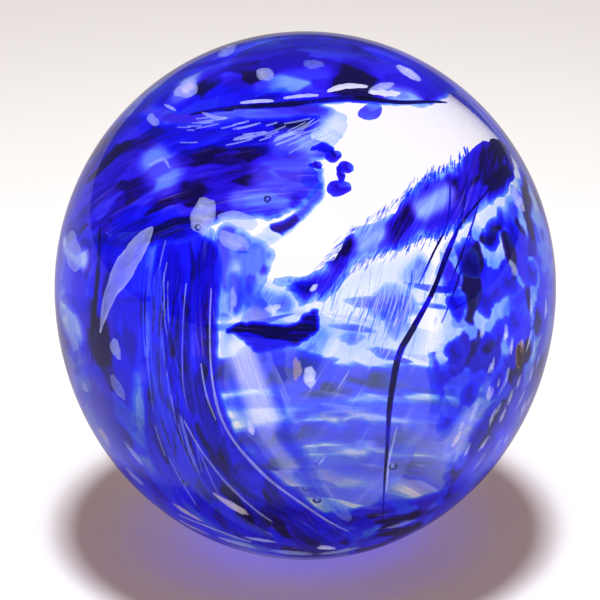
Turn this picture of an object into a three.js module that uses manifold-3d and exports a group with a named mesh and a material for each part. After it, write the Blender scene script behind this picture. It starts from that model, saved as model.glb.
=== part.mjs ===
// Studio-glass paperweight: a clear ball cased over a layer of cobalt and white colour.
// Millimetres, +Z up, origin at the centre of the ground base. The front faces -Y.
//
// The ball is made as the real one is. A clear core carries the colour: thin veils, folds
// pulled out of them, grains of frit and one fine trail. A clear casing closes over it all,
// and core, colour and casing come down through a short neck to the flat ground base.
// Directions on the ball are (azimuth, elevation) in degrees, seen from the centre of its
// widest level: azimuth 0 is the front, +90 is +X, and elevation +90 is the crown.

import * as THREE from 'three';
import { mergeVertices } from 'three/addons/utils/BufferGeometryUtils.js';
import Module from 'manifold-3d';

const wasm = await Module();
wasm.setup();

// ---- Driving dimensions ----

const BALL_RADIUS = 38; // at the widest level
const CROWN_RISE = 39.1; // from the widest level up to the crown
const LOWER_HALF_AXIS = 41.9; // of the lower half, before grinding
const GROUND_OFF = 1.8; // glass ground away under the lower half to make the flat base
const CLEARANCE = 0.3; // between neighbouring bodies of glass
const CASING_WALL = 3.3;
const FOLD_THICKNESS = 0.8; // folds, trail and grains, next to the casing
const VEIL_THICKNESS = 1; // the veils, in the middle
const BAND_THICKNESS = 1.2; // the bands at the back, next to the core
const NECK_RADIUS = 7.5; // of the casing's opening in the base
const COLLAR_WALL = 2.2;

const TURNED_SEGMENTS = 32;
const LEVEL_STEP = 10; // degrees of elevation between the rows of the turned surfaces

// A layer is the space between two depths under the ball's surface.
function layerUnder(top, thickness) {
  return { top, bottom: top + thickness };
}
const FOLD_LAYER = layerUnder(CASING_WALL + CLEARANCE, FOLD_THICKNESS);
const VEIL_LAYER = layerUnder(FOLD_LAYER.bottom + CLEARANCE, VEIL_THICKNESS);
const BAND_LAYER = layerUnder(VEIL_LAYER.bottom + CLEARANCE, BAND_THICKNESS);
const CORE_DEPTH = BAND_LAYER.bottom + CLEARANCE;
const BASE_LEVEL = GROUND_OFF - LOWER_HALF_AXIS; // height of the base under the widest level
const COLLAR_OUTER_RADIUS = NECK_RADIUS - CLEARANCE;
const COLLAR_INNER_RADIUS = COLLAR_OUTER_RADIUS - COLLAR_WALL;
const PLUG_RADIUS = COLLAR_INNER_RADIUS - CLEARANCE;

// ---- Materials ----

function glassMaterial(color, roughness) {
  return new THREE.MeshStandardMaterial({ color, roughness, metalness: 0 });
}
const CLEAR = glassMaterial('#eef2f6', 0.03);
CLEAR.transparent = true;
CLEAR.opacity = 0.25;
const COBALT = glassMaterial('#1c10c8', 0.15);
const NAVY = glassMaterial('#14065a', 0.15);
const BRIGHT_BLUE = glassMaterial('#2f55ff', 0.2);
const PALE_BLUE = glassMaterial('#a9c4ff', 0.25);
const OPAL = glassMaterial('#dcdcf0', 0.3);
const AMBER = glassMaterial('#8a5a4a', 0.3);

// ---- The ball's surface and directions on it ----

function radiusAt(elevation) {
  const halfAxis = elevation > 0 ? CROWN_RISE : LOWER_HALF_AXIS;
  return 1 / Math.hypot(Math.cos(elevation) / BALL_RADIUS, Math.sin(elevation) / halfAxis);
}

function direction(azimuthDegrees, elevationDegrees) {
  const azimuth = THREE.MathUtils.degToRad(azimuthDegrees);
  const elevation = THREE.MathUtils.degToRad(elevationDegrees);
  return new THREE.Vector3(
    Math.cos(elevation) * Math.sin(azimuth),
    -Math.cos(elevation) * Math.cos(azimuth),
    Math.sin(elevation),
  );
}

function pointUnder(unit, depth) {
  return unit.clone().multiplyScalar(radiusAt(Math.asin(unit.z)) - depth);
}

function pointsToDirections(points) {
  return points.map(([azimuth, elevation]) => direction(azimuth, elevation));
}

// ---- Turned bodies and the passage to and from solids ----

// Height of the lower half's surface, at one depth, where it is a given distance off the axis.
function undersideHeight(depth, axisDistance) {
  const share = axisDistance / (BALL_RADIUS - depth);
  return (depth - LOWER_HALF_AXIS) * Math.sqrt(1 - share ** 2);
}

// Profile points of the surface at one depth, from the crown down to where it has come in
// to endRadius from the axis.
function surfaceProfile(depth, endRadius) {
  const points = [];
  for (let degrees = 90; degrees > -90; degrees -= LEVEL_STEP) {
    const elevation = THREE.MathUtils.degToRad(degrees);
    const reach = radiusAt(elevation) - depth;
    const x = degrees === 90 ? 0 : reach * Math.cos(elevation);
    if (degrees < 0 && x <= endRadius) break;
    points.push(new THREE.Vector2(x, reach * Math.sin(elevation)));
  }
  points.push(new THREE.Vector2(endRadius, undersideHeight(depth, endRadius)));
  return points;
}

function merged(geometry) {
  const bare = geometry.clone();
  bare.deleteAttribute('normal');
  bare.deleteAttribute('uv');
  return mergeVertices(bare);
}

// The profile runs down the outside and comes back inside, or to the axis.
function turned(profile) {
  const upwards = [...profile].reverse();
  const lathe = new THREE.LatheGeometry(upwards, TURNED_SEGMENTS);
  lathe.rotateX(Math.PI / 2);
  return merged(lathe);
}

function toSolid(geometry) {
  return new wasm.Manifold(new wasm.Mesh({
    numProp: 3,
    vertProperties: Float32Array.from(geometry.attributes.position.array),
    triVerts: Uint32Array.from(geometry.index.array),
  }));
}

function toGeometry(solid) {
  const { vertProperties, triVerts } = solid.getMesh();
  const geometry = new THREE.BufferGeometry();
  geometry.setAttribute('position', new THREE.BufferAttribute(vertProperties, 3));
  geometry.setIndex(new THREE.BufferAttribute(triVerts, 1));
  geometry.computeVertexNormals();
  return geometry;
}

function wholeBall(depth) {
  return toSolid(turned(surfaceProfile(depth, 0)));
}

function layerSolid(layer) {
  return wholeBall(layer.top).subtract(wholeBall(layer.bottom));
}

// ---- Sheets cut from a layer ----

const CUTTER_START = 2; // the cutter is a cone from near the centre out past the surface
const CUTTER_END = 60;

// A cone with its point at the centre of the ball, through a closed outline of directions.
function coneThrough(outline) {
  const axis = outline.reduce((sum, unit) => sum.add(unit), new THREE.Vector3()).normalize();
  const across = new THREE.Vector3(1, 0, 0).projectOnPlane(axis).normalize();
  const along = axis.clone().cross(across);
  const flat = outline.map((unit) => {
    const distance = unit.dot(axis);
    return new THREE.Vector2(unit.dot(across) / distance, unit.dot(along) / distance);
  });
  const cone = new THREE.ExtrudeGeometry(new THREE.Shape(flat), { depth: 1, bevelEnabled: false });
  const position = cone.attributes.position;
  for (let i = 0; i < position.count; i += 1) {
    const reach = position.getZ(i) > 0.5 ? CUTTER_END : CUTTER_START;
    const point = axis.clone()
      .addScaledVector(across, position.getX(i))
      .addScaledVector(along, position.getY(i))
      .multiplyScalar(reach);
    position.setXYZ(i, point.x, point.y, point.z);
  }
  return toSolid(merged(cone));
}

const LAYER_SOLIDS = new Map([FOLD_LAYER, VEIL_LAYER, BAND_LAYER].map(
  (layer) => [layer, layerSolid(layer)],
));

function sheet(outline, layer) {
  return toGeometry(LAYER_SOLIDS.get(layer).intersect(coneThrough(outline)));
}

const STEPS_PER_POINT = 2; // of an outline or a strip's path
const STRIP_TIP = 0.25; // width left at a strip's ends, as a share of its full width

// A smooth closed outline through a few (azimuth, elevation) points.
function smoothOutline(points) {
  const curve = new THREE.CatmullRomCurve3(pointsToDirections(points), true, 'centripetal');
  const steps = points.length * STEPS_PER_POINT;
  return curve.getPoints(steps).slice(0, -1).map((point) => point.normalize());
}

// The outline of a strip along a path, halfWidth degrees each way and narrower at its ends.
function stripOutline(points, halfWidth) {
  const curve = new THREE.CatmullRomCurve3(pointsToDirections(points), false, 'centripetal');
  const steps = points.length * STEPS_PER_POINT;
  const left = [];
  const right = [];
  for (let i = 0; i <= steps; i += 1) {
    const t = i / steps;
    const middle = curve.getPoint(t);
    const side = curve.getTangent(t).cross(middle).normalize();
    const taper = Math.max(STRIP_TIP, Math.sqrt(Math.sin(Math.PI * t)));
    const width = THREE.MathUtils.degToRad(halfWidth) * taper;
    left.push(middle.clone().addScaledVector(side, -width).normalize());
    right.push(middle.clone().addScaledVector(side, width).normalize());
  }
  return [...left, ...right.reverse()];
}

// ---- Chips and trails ----

const GRAIN_SHARE = 0.7; // of its layer's thickness: the flats of the turned surfaces take the rest
const CHIP_SIDES = 8;
const CHIP_ROWS = 5;
const CHIP_UNEVENNESS = 0.1;

function grainThickness(layer) {
  return GRAIN_SHARE * (layer.bottom - layer.top);
}

// Grains and the trail lie on the inner side of their layer.
function grainDepth(layer) {
  return layer.bottom - grainThickness(layer) / 2;
}

// A flat rounded grain of glass with an uneven rim. Its size across and up, before it is
// turned, is in degrees of the ball's surface.
function chip({ at, size, turn = 0 }, layer, index) {
  const outward = direction(...at);
  const middle = pointUnder(outward, grainDepth(layer));
  const [length, width] = size.map((degrees) => middle.length() * THREE.MathUtils.degToRad(degrees));
  const grain = new THREE.SphereGeometry(0.5, CHIP_SIDES, CHIP_ROWS);
  grain.rotateX(Math.PI / 2);
  const position = grain.attributes.position;
  for (let i = 0; i < position.count; i += 1) {
    const angle = Math.atan2(position.getY(i), position.getX(i));
    const uneven = 1 + CHIP_UNEVENNESS * Math.sin(3 * angle + index);
    position.setXYZ(
      i,
      position.getX(i) * length * uneven,
      position.getY(i) * width * uneven,
      position.getZ(i) * grainThickness(layer),
    );
  }
  const mesh = new THREE.Mesh(merged(grain));
  mesh.position.copy(middle);
  mesh.quaternion.setFromRotationMatrix(tangentFrame(outward));
  mesh.rotateZ(THREE.MathUtils.degToRad(turn));
  return mesh;
}

// Axes on the surface: X level to the right as seen from outside, Y up, Z outward.
function tangentFrame(outward) {
  const level = new THREE.Vector3(0, 0, 1).cross(outward).normalize();
  return new THREE.Matrix4().makeBasis(level, outward.clone().cross(level), outward);
}

const TRAIL_SIDES = 6;
const TRAIL_STEPS = 30;

// A fine round thread of glass drawn along a path in the fold layer.
function trail(points) {
  const depth = grainDepth(FOLD_LAYER);
  const route = pointsToDirections(points).map((unit) => pointUnder(unit, depth));
  const section = new THREE.Shape();
  section.absarc(0, 0, grainThickness(FOLD_LAYER) / 2, 0, 2 * Math.PI);
  return merged(new THREE.ExtrudeGeometry(section, {
    curveSegments: TRAIL_SIDES / 2,
    steps: TRAIL_STEPS,
    extrudePath: new THREE.CatmullRomCurve3(route, false, 'centripetal'),
  }));
}

// ---- Clear glass ----

const BASE_RADIUS = BALL_RADIUS * Math.sqrt(1 - (BASE_LEVEL / LOWER_HALF_AXIS) ** 2);

// Outside from the crown to the ground base, in under it, up the neck and back inside.
function clearCasing() {
  const outside = surfaceProfile(0, BASE_RADIUS);
  const inside = surfaceProfile(CASING_WALL, NECK_RADIUS).reverse();
  const neckMouth = new THREE.Vector2(NECK_RADIUS, BASE_LEVEL);
  return turned([...outside, neckMouth, ...inside]);
}

function clearCore() {
  const plugFace = [
    new THREE.Vector2(PLUG_RADIUS, BASE_LEVEL),
    new THREE.Vector2(0, BASE_LEVEL),
  ];
  return turned([...surfaceProfile(CORE_DEPTH, PLUG_RADIUS), ...plugFace]);
}

// The blue ring in the neck between the core's plug and the casing, up to under the core.
function baseCollar() {
  const middle = (COLLAR_INNER_RADIUS + COLLAR_OUTER_RADIUS) / 2;
  const rim = undersideHeight(CORE_DEPTH, COLLAR_INNER_RADIUS) - CLEARANCE;
  const shoulder = rim - COLLAR_WALL / 2;
  const section = [
    [COLLAR_INNER_RADIUS, shoulder],
    [middle, rim],
    [COLLAR_OUTER_RADIUS, shoulder],
    [COLLAR_OUTER_RADIUS, BASE_LEVEL],
    [COLLAR_INNER_RADIUS, BASE_LEVEL],
    [COLLAR_INNER_RADIUS, shoulder],
  ];
  return turned(section.map(([radius, height]) => new THREE.Vector2(radius, height)));
}

// ---- Colour: outlines and paths in (azimuth, elevation), all of it in degrees ----

const VEILS = [
  // The cap over the crown, with a ragged rim that hangs lower at the sides and the back.
  ['crown_veil', COBALT, [
    [0, 72], [-28, 70], [-52, 65], [-74, 58], [-96, 52], [-120, 54], [-142, 46], [-168, 48],
    [170, 42], [145, 50], [118, 47], [96, 56], [72, 61], [52, 67], [30, 71],
  ]],
  // The breaking wave at the upper left, open to the right.
  ['wave_veil', COBALT, [
    [8, 68], [-24, 65], [-48, 60], [-72, 53], [-98, 46], [-106, 36], [-98, 24], [-80, 23],
    [-64, 27], [-50, 31], [-38, 35], [-26, 40], [-10, 41], [0, 44], [6, 49], [3, 54],
    [12, 58], [2, 62],
  ]],
  // The curtain hanging below the wave and swept to the right at the base.
  ['curtain_veil', COBALT, [
    [-45, 27], [-36, 31], [-24, 28], [-23, 14], [-21, -6], [-14, -20], [-2, -33], [12, -46],
    [20, -58], [14, -69], [-10, -64], [-28, -56], [-40, -44], [-47, -30], [-44, -14], [-41, 6],
  ]],
  ['left_veil', COBALT, [
    [-62, 23], [-50, 27], [-48, 12], [-47, -8], [-51, -28], [-46, -46], [-38, -60], [-50, -70],
    [-76, -62], [-92, -52], [-104, -34], [-98, -14], [-106, 4], [-96, 18], [-78, 19],
  ]],
  // The band that climbs from the middle of the front to the right, ragged along its top.
  ['diagonal_veil', COBALT, [
    [-18, 26], [0, 27], [8, 32], [14, 37], [26, 39], [34, 43], [46, 46], [60, 45], [76, 45],
    [94, 39], [90, 33], [74, 32], [60, 33], [48, 31], [36, 32], [26, 31], [14, 29], [7, 22],
    [-1, 20], [-5, 24],
  ]],
  // The milky band right of the curtain.
  ['pale_veil', PALE_BLUE, [
    [-20, 13], [-10, 9], [-4, -4], [0, -20], [8, -34], [15, -45], [2, -34], [-11, -19],
    [-18, -6],
  ]],
  ['right_veil', PALE_BLUE, [
    [90, 29], [66, 29], [48, 27], [38, 25], [34, 15], [31, 5], [33, -8], [35, -20], [42, -36],
    [52, -56], [74, -64], [92, -46], [104, -26], [102, -4], [106, 12], [100, 26],
  ]],
  ['back_left_veil', COBALT, [
    [-110, 40], [-132, 44], [-150, 34], [-146, 14], [-154, -6], [-148, -24], [-156, -44],
    [-128, -50], [-108, -38], [-116, -12], [-108, 8], [-116, 24],
  ]],
  ['back_right_veil', COBALT, [
    [112, 40], [126, 45], [146, 40], [150, 22], [142, 4], [150, -14], [144, -32], [152, -46],
    [124, -50], [106, -42], [108, -20], [112, 0], [108, 20],
  ]],
  ['lower_back_veil', NAVY, [
    [160, -50], [178, -53], [-164, -49], [-146, -56], [-160, -66], [176, -72], [150, -68],
    [138, -56],
  ]],
];

// Narrow pieces of the fold layer: name, material, half width, path.
const FOLDS = [
  ['crown_fold', NAVY, 1, [[-62, 59], [-46, 65], [-22, 69], [4, 71], [36, 70], [60, 64], [84, 56]]],
  ['curtain_fold_left', BRIGHT_BLUE, 2.8, [[-40, 24], [-37, 4], [-35, -18], [-27, -36], [-10, -50]]],
  ['curtain_fold_middle', NAVY, 1.8, [[-30, 27], [-29, 8], [-27, -12], [-18, -29], [-2, -42], [10, -54]]],
  ['sweep_fold', PALE_BLUE, 1, [[-24, 22], [-22, 0], [-19, -12], [-11, -24], [0, -35], [14, -47]]],
  ['left_edge_fold', NAVY, 1.2, [[-66, 26], [-61, 18], [-59, 6], [-60, -8]]],
  ['pale_streak', PALE_BLUE, 2.1, [[-46, 32], [-50, 23], [-54, 13], [-56, 3]]],
];

// Broader pieces of the fold layer, each with its outline.
const SHAPED_FOLDS = [
  ['wave_lip', BRIGHT_BLUE, [
    [5, 46], [5, 43], [-1, 40], [-8, 36], [-13, 34], [-12, 38], [-6, 40], [0, 44],
  ]],
  ['vee_fold', NAVY, [
    [-20, 13], [-12, 16], [-5, 15], [3, 20], [2, 13], [-4, 10], [-11, 9], [-16, 11],
  ]],
  ['base_wedge', NAVY, [[26, -46], [42, -49], [48, -56], [34, -66], [20, -64]]],
];

// Bands of the layer next to the core, at the back: half width, path.
const BACK_BANDS = [
  [1.9, [[154, -31], [168, -33], [182, -33.6], [-166, -32]]],
  [1.1, [[150, -34.6], [164, -36.6], [180, -37.8], [-164, -36]]],
  [1.4, [[152, -39.6], [168, -41], [186, -41.4], [-160, -39.6]]],
  [1.2, [[150, -44], [168, -45], [186, -45.2], [-160, -44.2]]],
];

const TRAIL_PATH = [
  [88, 37], [64, 36], [49, 33], [40, 28], [33, 20], [26, 12], [22, 6], [20, -5], [20, -17],
  [21, -30], [24, -43],
];

const WAVE_DROPS = [
  { at: [11, 55], size: [4, 3], turn: 20 },
  { at: [15, 52], size: [3.6, 3], turn: -30 },
  { at: [11, 47], size: [5.6, 4], turn: 10 },
];

const HANGING_CHIP = { at: [43, 67], size: [7.6, 4.4], turn: 10 };

const AMBER_FLECK = { at: [60, -4], size: [2, 5] };

const PALE_CHIPS = [
  { at: [-84, 62], size: [9, 6], turn: 10 },
  { at: [-50, 78], size: [5.6, 4], turn: -20 },
  { at: [20, 85], size: [4.4, 4] },
  { at: [-122, 69], size: [9, 4.4], turn: 25 },
  { at: [94, 66], size: [7, 5], turn: 60 },
  { at: [60, 70], size: [8.6, 2.6], turn: -10 },
  { at: [-78, 52], size: [7.4, 2], turn: 5 },
  { at: [-31, 39], size: [5.6, 8.4] },
  { at: [-20, 39], size: [7.6, 3], turn: -5 },
  { at: [-19, 33], size: [8.4, 3.6], turn: -15 },
  { at: [-74, 15], size: [7.6, 6], turn: -15 },
  { at: [-70, -2], size: [6.6, 10.6], turn: 10 },
  { at: [-50, -9], size: [6, 3.4], turn: -50 },
  { at: [76, 29], size: [4.4, 6.6] },
];

const BLUE_FRIT = [
  { at: [46, 23], size: [7, 6.4] },
  { at: [56, 26], size: [6.6, 5.6], turn: 30 },
  { at: [66, 24], size: [6.4, 7.4], turn: -20 },
  { at: [39, 15], size: [5.4, 6.6], turn: 15 },
  { at: [48, 13], size: [7.2, 7] },
  { at: [58, 15], size: [7, 8], turn: 40 },
  { at: [69, 13], size: [6.6, 8.2], turn: 10 },
  { at: [37, 4], size: [5.6, 7.6], turn: 5 },
  { at: [47, 3], size: [6.6, 7.4], turn: -30 },
  { at: [58, 5], size: [7.2, 6.6] },
  { at: [70, 2], size: [6.6, 8], turn: 25 },
  { at: [42, -8], size: [6, 7.6], turn: -25 },
  { at: [52, -8], size: [5.6, 8.2], turn: -35 },
];

// ---- The ball ----

const ball = new THREE.Group();
ball.position.z = -BASE_LEVEL;

function addMesh(name, material, mesh) {
  mesh.name = name;
  mesh.material = material;
  ball.add(mesh);
}

function addBody(name, material, geometry) {
  addMesh(name, material, new THREE.Mesh(geometry));
}

function addChips(name, material, chips, layer) {
  const digits = String(chips.length).length;
  chips.forEach((grain, index) => {
    const number = String(index + 1).padStart(digits, '0');
    addMesh(`${name}_${number}`, material, chip(grain, layer, index));
  });
}

addBody('clear_casing', CLEAR, clearCasing());
addBody('clear_core', CLEAR, clearCore());
addBody('base_collar', COBALT, baseCollar());
for (const [name, material, points] of VEILS) {
  addBody(name, material, sheet(smoothOutline(points), VEIL_LAYER));
}
for (const [name, material, halfWidth, path] of FOLDS) {
  addBody(name, material, sheet(stripOutline(path, halfWidth), FOLD_LAYER));
}
for (const [name, material, points] of SHAPED_FOLDS) {
  addBody(name, material, sheet(smoothOutline(points), FOLD_LAYER));
}
BACK_BANDS.forEach(([halfWidth, path], index) => {
  addBody(`back_band_${index + 1}`, BRIGHT_BLUE, sheet(stripOutline(path, halfWidth), BAND_LAYER));
});
addBody('trail', NAVY, trail(TRAIL_PATH));
addChips('wave_drop', COBALT, WAVE_DROPS, FOLD_LAYER);
addMesh('crown_hanging_chip', COBALT, chip(HANGING_CHIP, BAND_LAYER, 0));
addMesh('amber_fleck', AMBER, chip(AMBER_FLECK, FOLD_LAYER, 0));
addChips('pale_chip', OPAL, PALE_CHIPS, FOLD_LAYER);
addChips('blue_frit', COBALT, BLUE_FRIT, FOLD_LAYER);

const paperweight = new THREE.Group();
paperweight.add(ball);
export default paperweight;
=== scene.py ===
"""Looks of a studio-glass paperweight: a clear ball over torn veils, folds and grains of cobalt
and white glass. Metres, +Z up, the front faces -Y. A direction on the ball is (azimuth,
elevation) in degrees, seen from the centre of its widest level: azimuth 0 is the front, +90 is
+X, and elevation +90 is the crown."""

import math

import bpy
import numpy as np
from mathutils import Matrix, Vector


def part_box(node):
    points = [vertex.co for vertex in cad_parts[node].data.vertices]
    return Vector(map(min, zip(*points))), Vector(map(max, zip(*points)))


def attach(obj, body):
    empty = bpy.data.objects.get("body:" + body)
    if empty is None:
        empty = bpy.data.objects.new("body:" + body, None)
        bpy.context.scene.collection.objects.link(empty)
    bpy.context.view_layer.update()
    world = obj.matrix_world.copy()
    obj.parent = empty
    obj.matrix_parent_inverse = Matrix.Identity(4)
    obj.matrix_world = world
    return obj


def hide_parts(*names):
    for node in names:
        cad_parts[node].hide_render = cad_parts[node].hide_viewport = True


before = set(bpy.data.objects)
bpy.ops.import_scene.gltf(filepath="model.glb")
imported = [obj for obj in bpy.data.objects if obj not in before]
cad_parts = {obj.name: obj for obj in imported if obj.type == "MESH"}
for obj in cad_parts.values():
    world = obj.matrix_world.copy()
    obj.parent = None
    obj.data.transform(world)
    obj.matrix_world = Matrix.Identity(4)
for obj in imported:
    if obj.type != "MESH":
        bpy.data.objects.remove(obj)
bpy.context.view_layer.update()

MM = 0.001

# ---- The ball's size, from the frame ----

CASING_LOW, CASING_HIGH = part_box("clear_casing")
BALL_RADIUS = (CASING_HIGH[0] - CASING_LOW[0]) / 2
BALL_HEIGHT = CASING_HIGH[2] - CASING_LOW[2]
CROWN_SHARE = 39.1 / 79.2  # of the height that is above the widest level
GROUND_OFF = 1.8 * MM  # glass ground away under the lower half
CROWN_RISE = CROWN_SHARE * BALL_HEIGHT
WIDEST_LEVEL = BALL_HEIGHT - CROWN_RISE
LOWER_HALF_AXIS = WIDEST_LEVEL + GROUND_OFF
CENTRE = np.array([0.0, 0.0, WIDEST_LEVEL])

# Depths under the ball's surface of the colour's layers, as in the CAD model.
FOLD_DEPTH = 3.7 * MM
VEIL_DEPTH = 4.8 * MM
BAND_DEPTH = 6.1 * MM
WASH_DEPTH = 7.0 * MM
SHEET_GAP = 0.55 * MM  # keeps sheets that overlap in one layer apart
SHEET_LEVELS = 3  # how many depths the sheets of one layer take in turn
BASE_COVER = 0.4 * MM  # least height of any colour above the base

# ---- Directions and points on the ball ----


def directions(points):
    """Unit vectors for rows of (azimuth, elevation) in degrees."""
    azimuth, elevation = np.radians(np.asarray(points, dtype=float)).T
    level = np.cos(elevation)
    return np.stack([level * np.sin(azimuth), -level * np.cos(azimuth), np.sin(elevation)], axis=1)


def reach(units):
    """Distance from the centre to the ball's surface along each unit vector."""
    half_axis = np.where(units[:, 2] > 0, CROWN_RISE, LOWER_HALF_AXIS)
    level = np.hypot(units[:, 0], units[:, 1])
    return 1 / np.hypot(level / BALL_RADIUS, units[:, 2] / half_axis)


def under_surface(units, depth):
    """Points a depth under the surface along each unit vector, kept above the ground base."""
    points = CENTRE + units * (reach(units) - depth)[:, None]
    points[:, 2] = np.maximum(points[:, 2], BASE_COVER)
    return points


def catmull_rom(points, closed, steps):
    """A smooth curve through the points, with this many steps from each one to the next."""
    count = len(points)
    if closed:
        spans = range(count)
        pick = lambda i: points[i % count]
    else:
        spans = range(count - 1)
        pick = lambda i: points[min(max(i, 0), count - 1)]
    t = np.linspace(0, 1, steps, endpoint=False)[:, None]
    curve = []
    for i in spans:
        a, b, c, d = pick(i - 1), pick(i), pick(i + 1), pick(i + 2)
        curve.append(0.5 * (2 * b + (c - a) * t + (2 * a - 5 * b + 4 * c - d) * t**2
                            + (3 * b - a - 3 * c + d) * t**3))
    if not closed:
        curve.append(points[-1][None])
    return np.concatenate(curve)


def unit(vectors):
    """The vectors at length 1."""
    return vectors / np.linalg.norm(vectors, axis=-1, keepdims=True)


def smooth_directions(points, closed, steps=8):
    """Unit vectors along a smooth line through rows of (azimuth, elevation)."""
    return unit(catmull_rom(directions(points), closed, steps))


def local_axes(axis, turn=0.0):
    """Two axes across a direction, the first level and turned by this many degrees."""
    level = unit(np.cross([0.0, 0.0, 1.0], axis))
    up = np.cross(axis, level)
    angle = math.radians(turn)
    return (
        math.cos(angle) * level + math.sin(angle) * up,
        math.cos(angle) * up - math.sin(angle) * level,
    )


TINY = 1e-9  # both keep a division away from zero
LEAST_SQUARE = 1e-12


def flatten(units, axis, across, up):
    """Distances in degrees across and up from the axis."""
    from_axis = np.degrees(np.arccos(np.clip(units @ axis, -1, 1)))
    sideways = np.stack([units @ across, units @ up], axis=1)
    length = np.maximum(np.linalg.norm(sideways, axis=1), TINY)
    return sideways * (from_axis / length)[:, None]


def unflatten(flat, axis, across, up):
    """Unit vectors for distances in degrees across and up from the axis: flatten, undone."""
    from_axis = np.radians(np.linalg.norm(flat, axis=1))
    share = np.where(from_axis > TINY, np.sin(from_axis) / np.maximum(from_axis, TINY), 1.0)
    sideways = np.radians(flat) * share[:, None]
    return unit(np.cos(from_axis)[:, None] * axis + sideways[:, :1] * across + sideways[:, 1:] * up)


# ---- Smooth noise for the shapes ----

TURN = 2 * math.pi
WAVES_PER_OCTAVE = 4
FINER = 2.1  # from one octave to the next
WEAKER = 1.8


def waves(points, scale, seed, octaves=3):
    """Smooth noise from about -1 to 1 at rows of coordinates, scale being its wavelength."""
    rng = np.random.default_rng(seed)
    total = np.zeros(len(points))
    weight = 1.0
    for _ in range(octaves):
        for _ in range(WAVES_PER_OCTAVE):
            heading = unit(rng.normal(size=points.shape[1]))
            total += weight * np.sin(points @ heading * (TURN / scale)
                                     + rng.uniform(0, TURN)) / WAVES_PER_OCTAVE
        scale /= FINER
        weight /= WEAKER
    return total


def smoothstep(low, high, values):
    """From 0 at low to 1 at high, with a soft start and end."""
    share = np.clip((values - low) / (high - low), 0, 1)
    return share * share * (3 - 2 * share)


# ---- Closed shells of glass ----


def rim_edges(quads, count):
    """The edges, as pairs of point numbers below count, that only one quad has."""
    edges = np.concatenate([quads[:, [0, 1]], quads[:, [1, 2]], quads[:, [2, 3]], quads[:, [3, 0]]])
    keys = np.sort(edges, axis=1) @ np.array([count, 1])
    _, where, times = np.unique(keys, return_index=True, return_counts=True)
    return edges[where[times == 1]]


def set_attribute(mesh, key, values):
    """Stores a number for each point of the mesh, for the materials to read."""
    layer = mesh.attributes.new(key, "FLOAT", "POINT")
    layer.data.foreach_set("value", np.asarray(values, dtype=np.float32))


def shell_object(name, units, depth, half, quads, flow, density, milk, material):
    """A closed thin body between two copies of a sheet of quads, half its thickness over and
    under a depth. flow holds distances in mm along and across the glass's flow, density how
    thick its colour is, and milk how much white is in it, both from 0 to 1."""
    top = under_surface(units, depth - half)
    bottom = under_surface(units, depth + half)
    count = len(top)
    rim = rim_edges(quads, count)
    sides = np.stack([rim[:, 1], rim[:, 0], rim[:, 0] + count, rim[:, 1] + count], axis=1)
    under = quads[:, ::-1] + count
    mesh = bpy.data.meshes.new(name)
    mesh.from_pydata(
        np.concatenate([top, bottom]).tolist(), [], np.concatenate([quads, under, sides]).tolist()
    )
    uv = mesh.uv_layers.new(name="flow")
    both = np.concatenate([flow, flow])
    corners = np.empty(len(mesh.loops), dtype=np.int32)
    mesh.loops.foreach_get("vertex_index", corners)
    uv.data.foreach_set("uv", both[corners].astype(np.float32).ravel())
    for key, values in (("colour_depth", density), ("milk", milk)):
        values = np.clip(np.broadcast_to(values, (count,)), 0, 1)
        set_attribute(mesh, key, np.concatenate([values, values]))
    return linked(name, mesh, material)


def linked(name, mesh, material):
    """A smooth object of the mesh in the scene."""
    mesh.shade_smooth()
    mesh.materials.append(material)
    piece = bpy.data.objects.new(name, mesh)
    bpy.context.scene.collection.objects.link(piece)
    return piece


# ---- Sheets, strips and grains ----

GRID_STEP = 0.9  # degrees between a sheet's points
WASH_STEP = 1.3
FINE_STEP = 0.6
RIM_STRENGTH = 0.25  # how much colour a sheet keeps at its very rim
STROKE_SOFTNESS = 0.6
TEAR_STRETCH = (0.35, 1.0)  # tears are drawn out along the flow
FINE_TEAR = 0.5  # depth of the finer tears, as a share
FINE_TEARS = 3  # how many of them to one tear
RIM_REACH = 0.4  # in steps: how far out of its outline a point may lie and be kept
RIM_SNAP = 1.2  # in steps: how near the outline a rim point is moved onto it
SWAY_LENGTH = 16  # mm from crest to crest of a sheet's slow waves
SHEET_RELIEF = 0.25 * MM
THICKNESS = 0.5 * MM  # of sheets and strips
GRAIN_THICKNESS = 0.6 * MM
THIN_SHARE = 0.15  # of its full thickness that a piece keeps at its edges
GRAIN_THIN_SHARE = 0.1
TIP_WIDTH = 0.1  # of a strip, as a share of its full width
WANDER_LENGTH = 0.3  # of a strip's length, over which its width wanders
GRAIN_WAVE = 1.6  # of the grain's radius, over which its rim wanders
GRAIN_SPAN = 0.995  # how far out the lens shape reaches, so that the rim keeps a thickness
DEGREE_LENGTH = math.radians(1) * BALL_RADIUS / MM  # mm along the ball's surface


def rim_distance(points, loop):
    """Distance of each point inside a closed flat outline, less than 0 outside, and the
    outline's nearest point."""
    start = loop
    span = np.roll(loop, -1, axis=0) - start
    squares = np.maximum((span**2).sum(1), LEAST_SQUARE)
    offset = points[:, None] - start[None]
    t = np.clip((offset * span[None]).sum(2) / squares[None], 0, 1)
    nearest = start[None] + t[..., None] * span[None]
    gap = np.linalg.norm(points[:, None] - nearest, axis=2)
    best = gap.argmin(1)
    rows = np.arange(len(points))
    above = start[None, :, 1] > points[:, None, 1]
    above_next = np.roll(above, -1, axis=1)
    slope = span[None, :, 0] / np.where(span[None, :, 1] == 0, LEAST_SQUARE, span[None, :, 1])
    crossing = offset[..., 0] < slope * offset[..., 1]
    inside = ((above != above_next) & crossing).sum(1) % 2 == 1
    return np.where(inside, gap[rows, best], -gap[rows, best]), nearest[rows, best]


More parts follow.
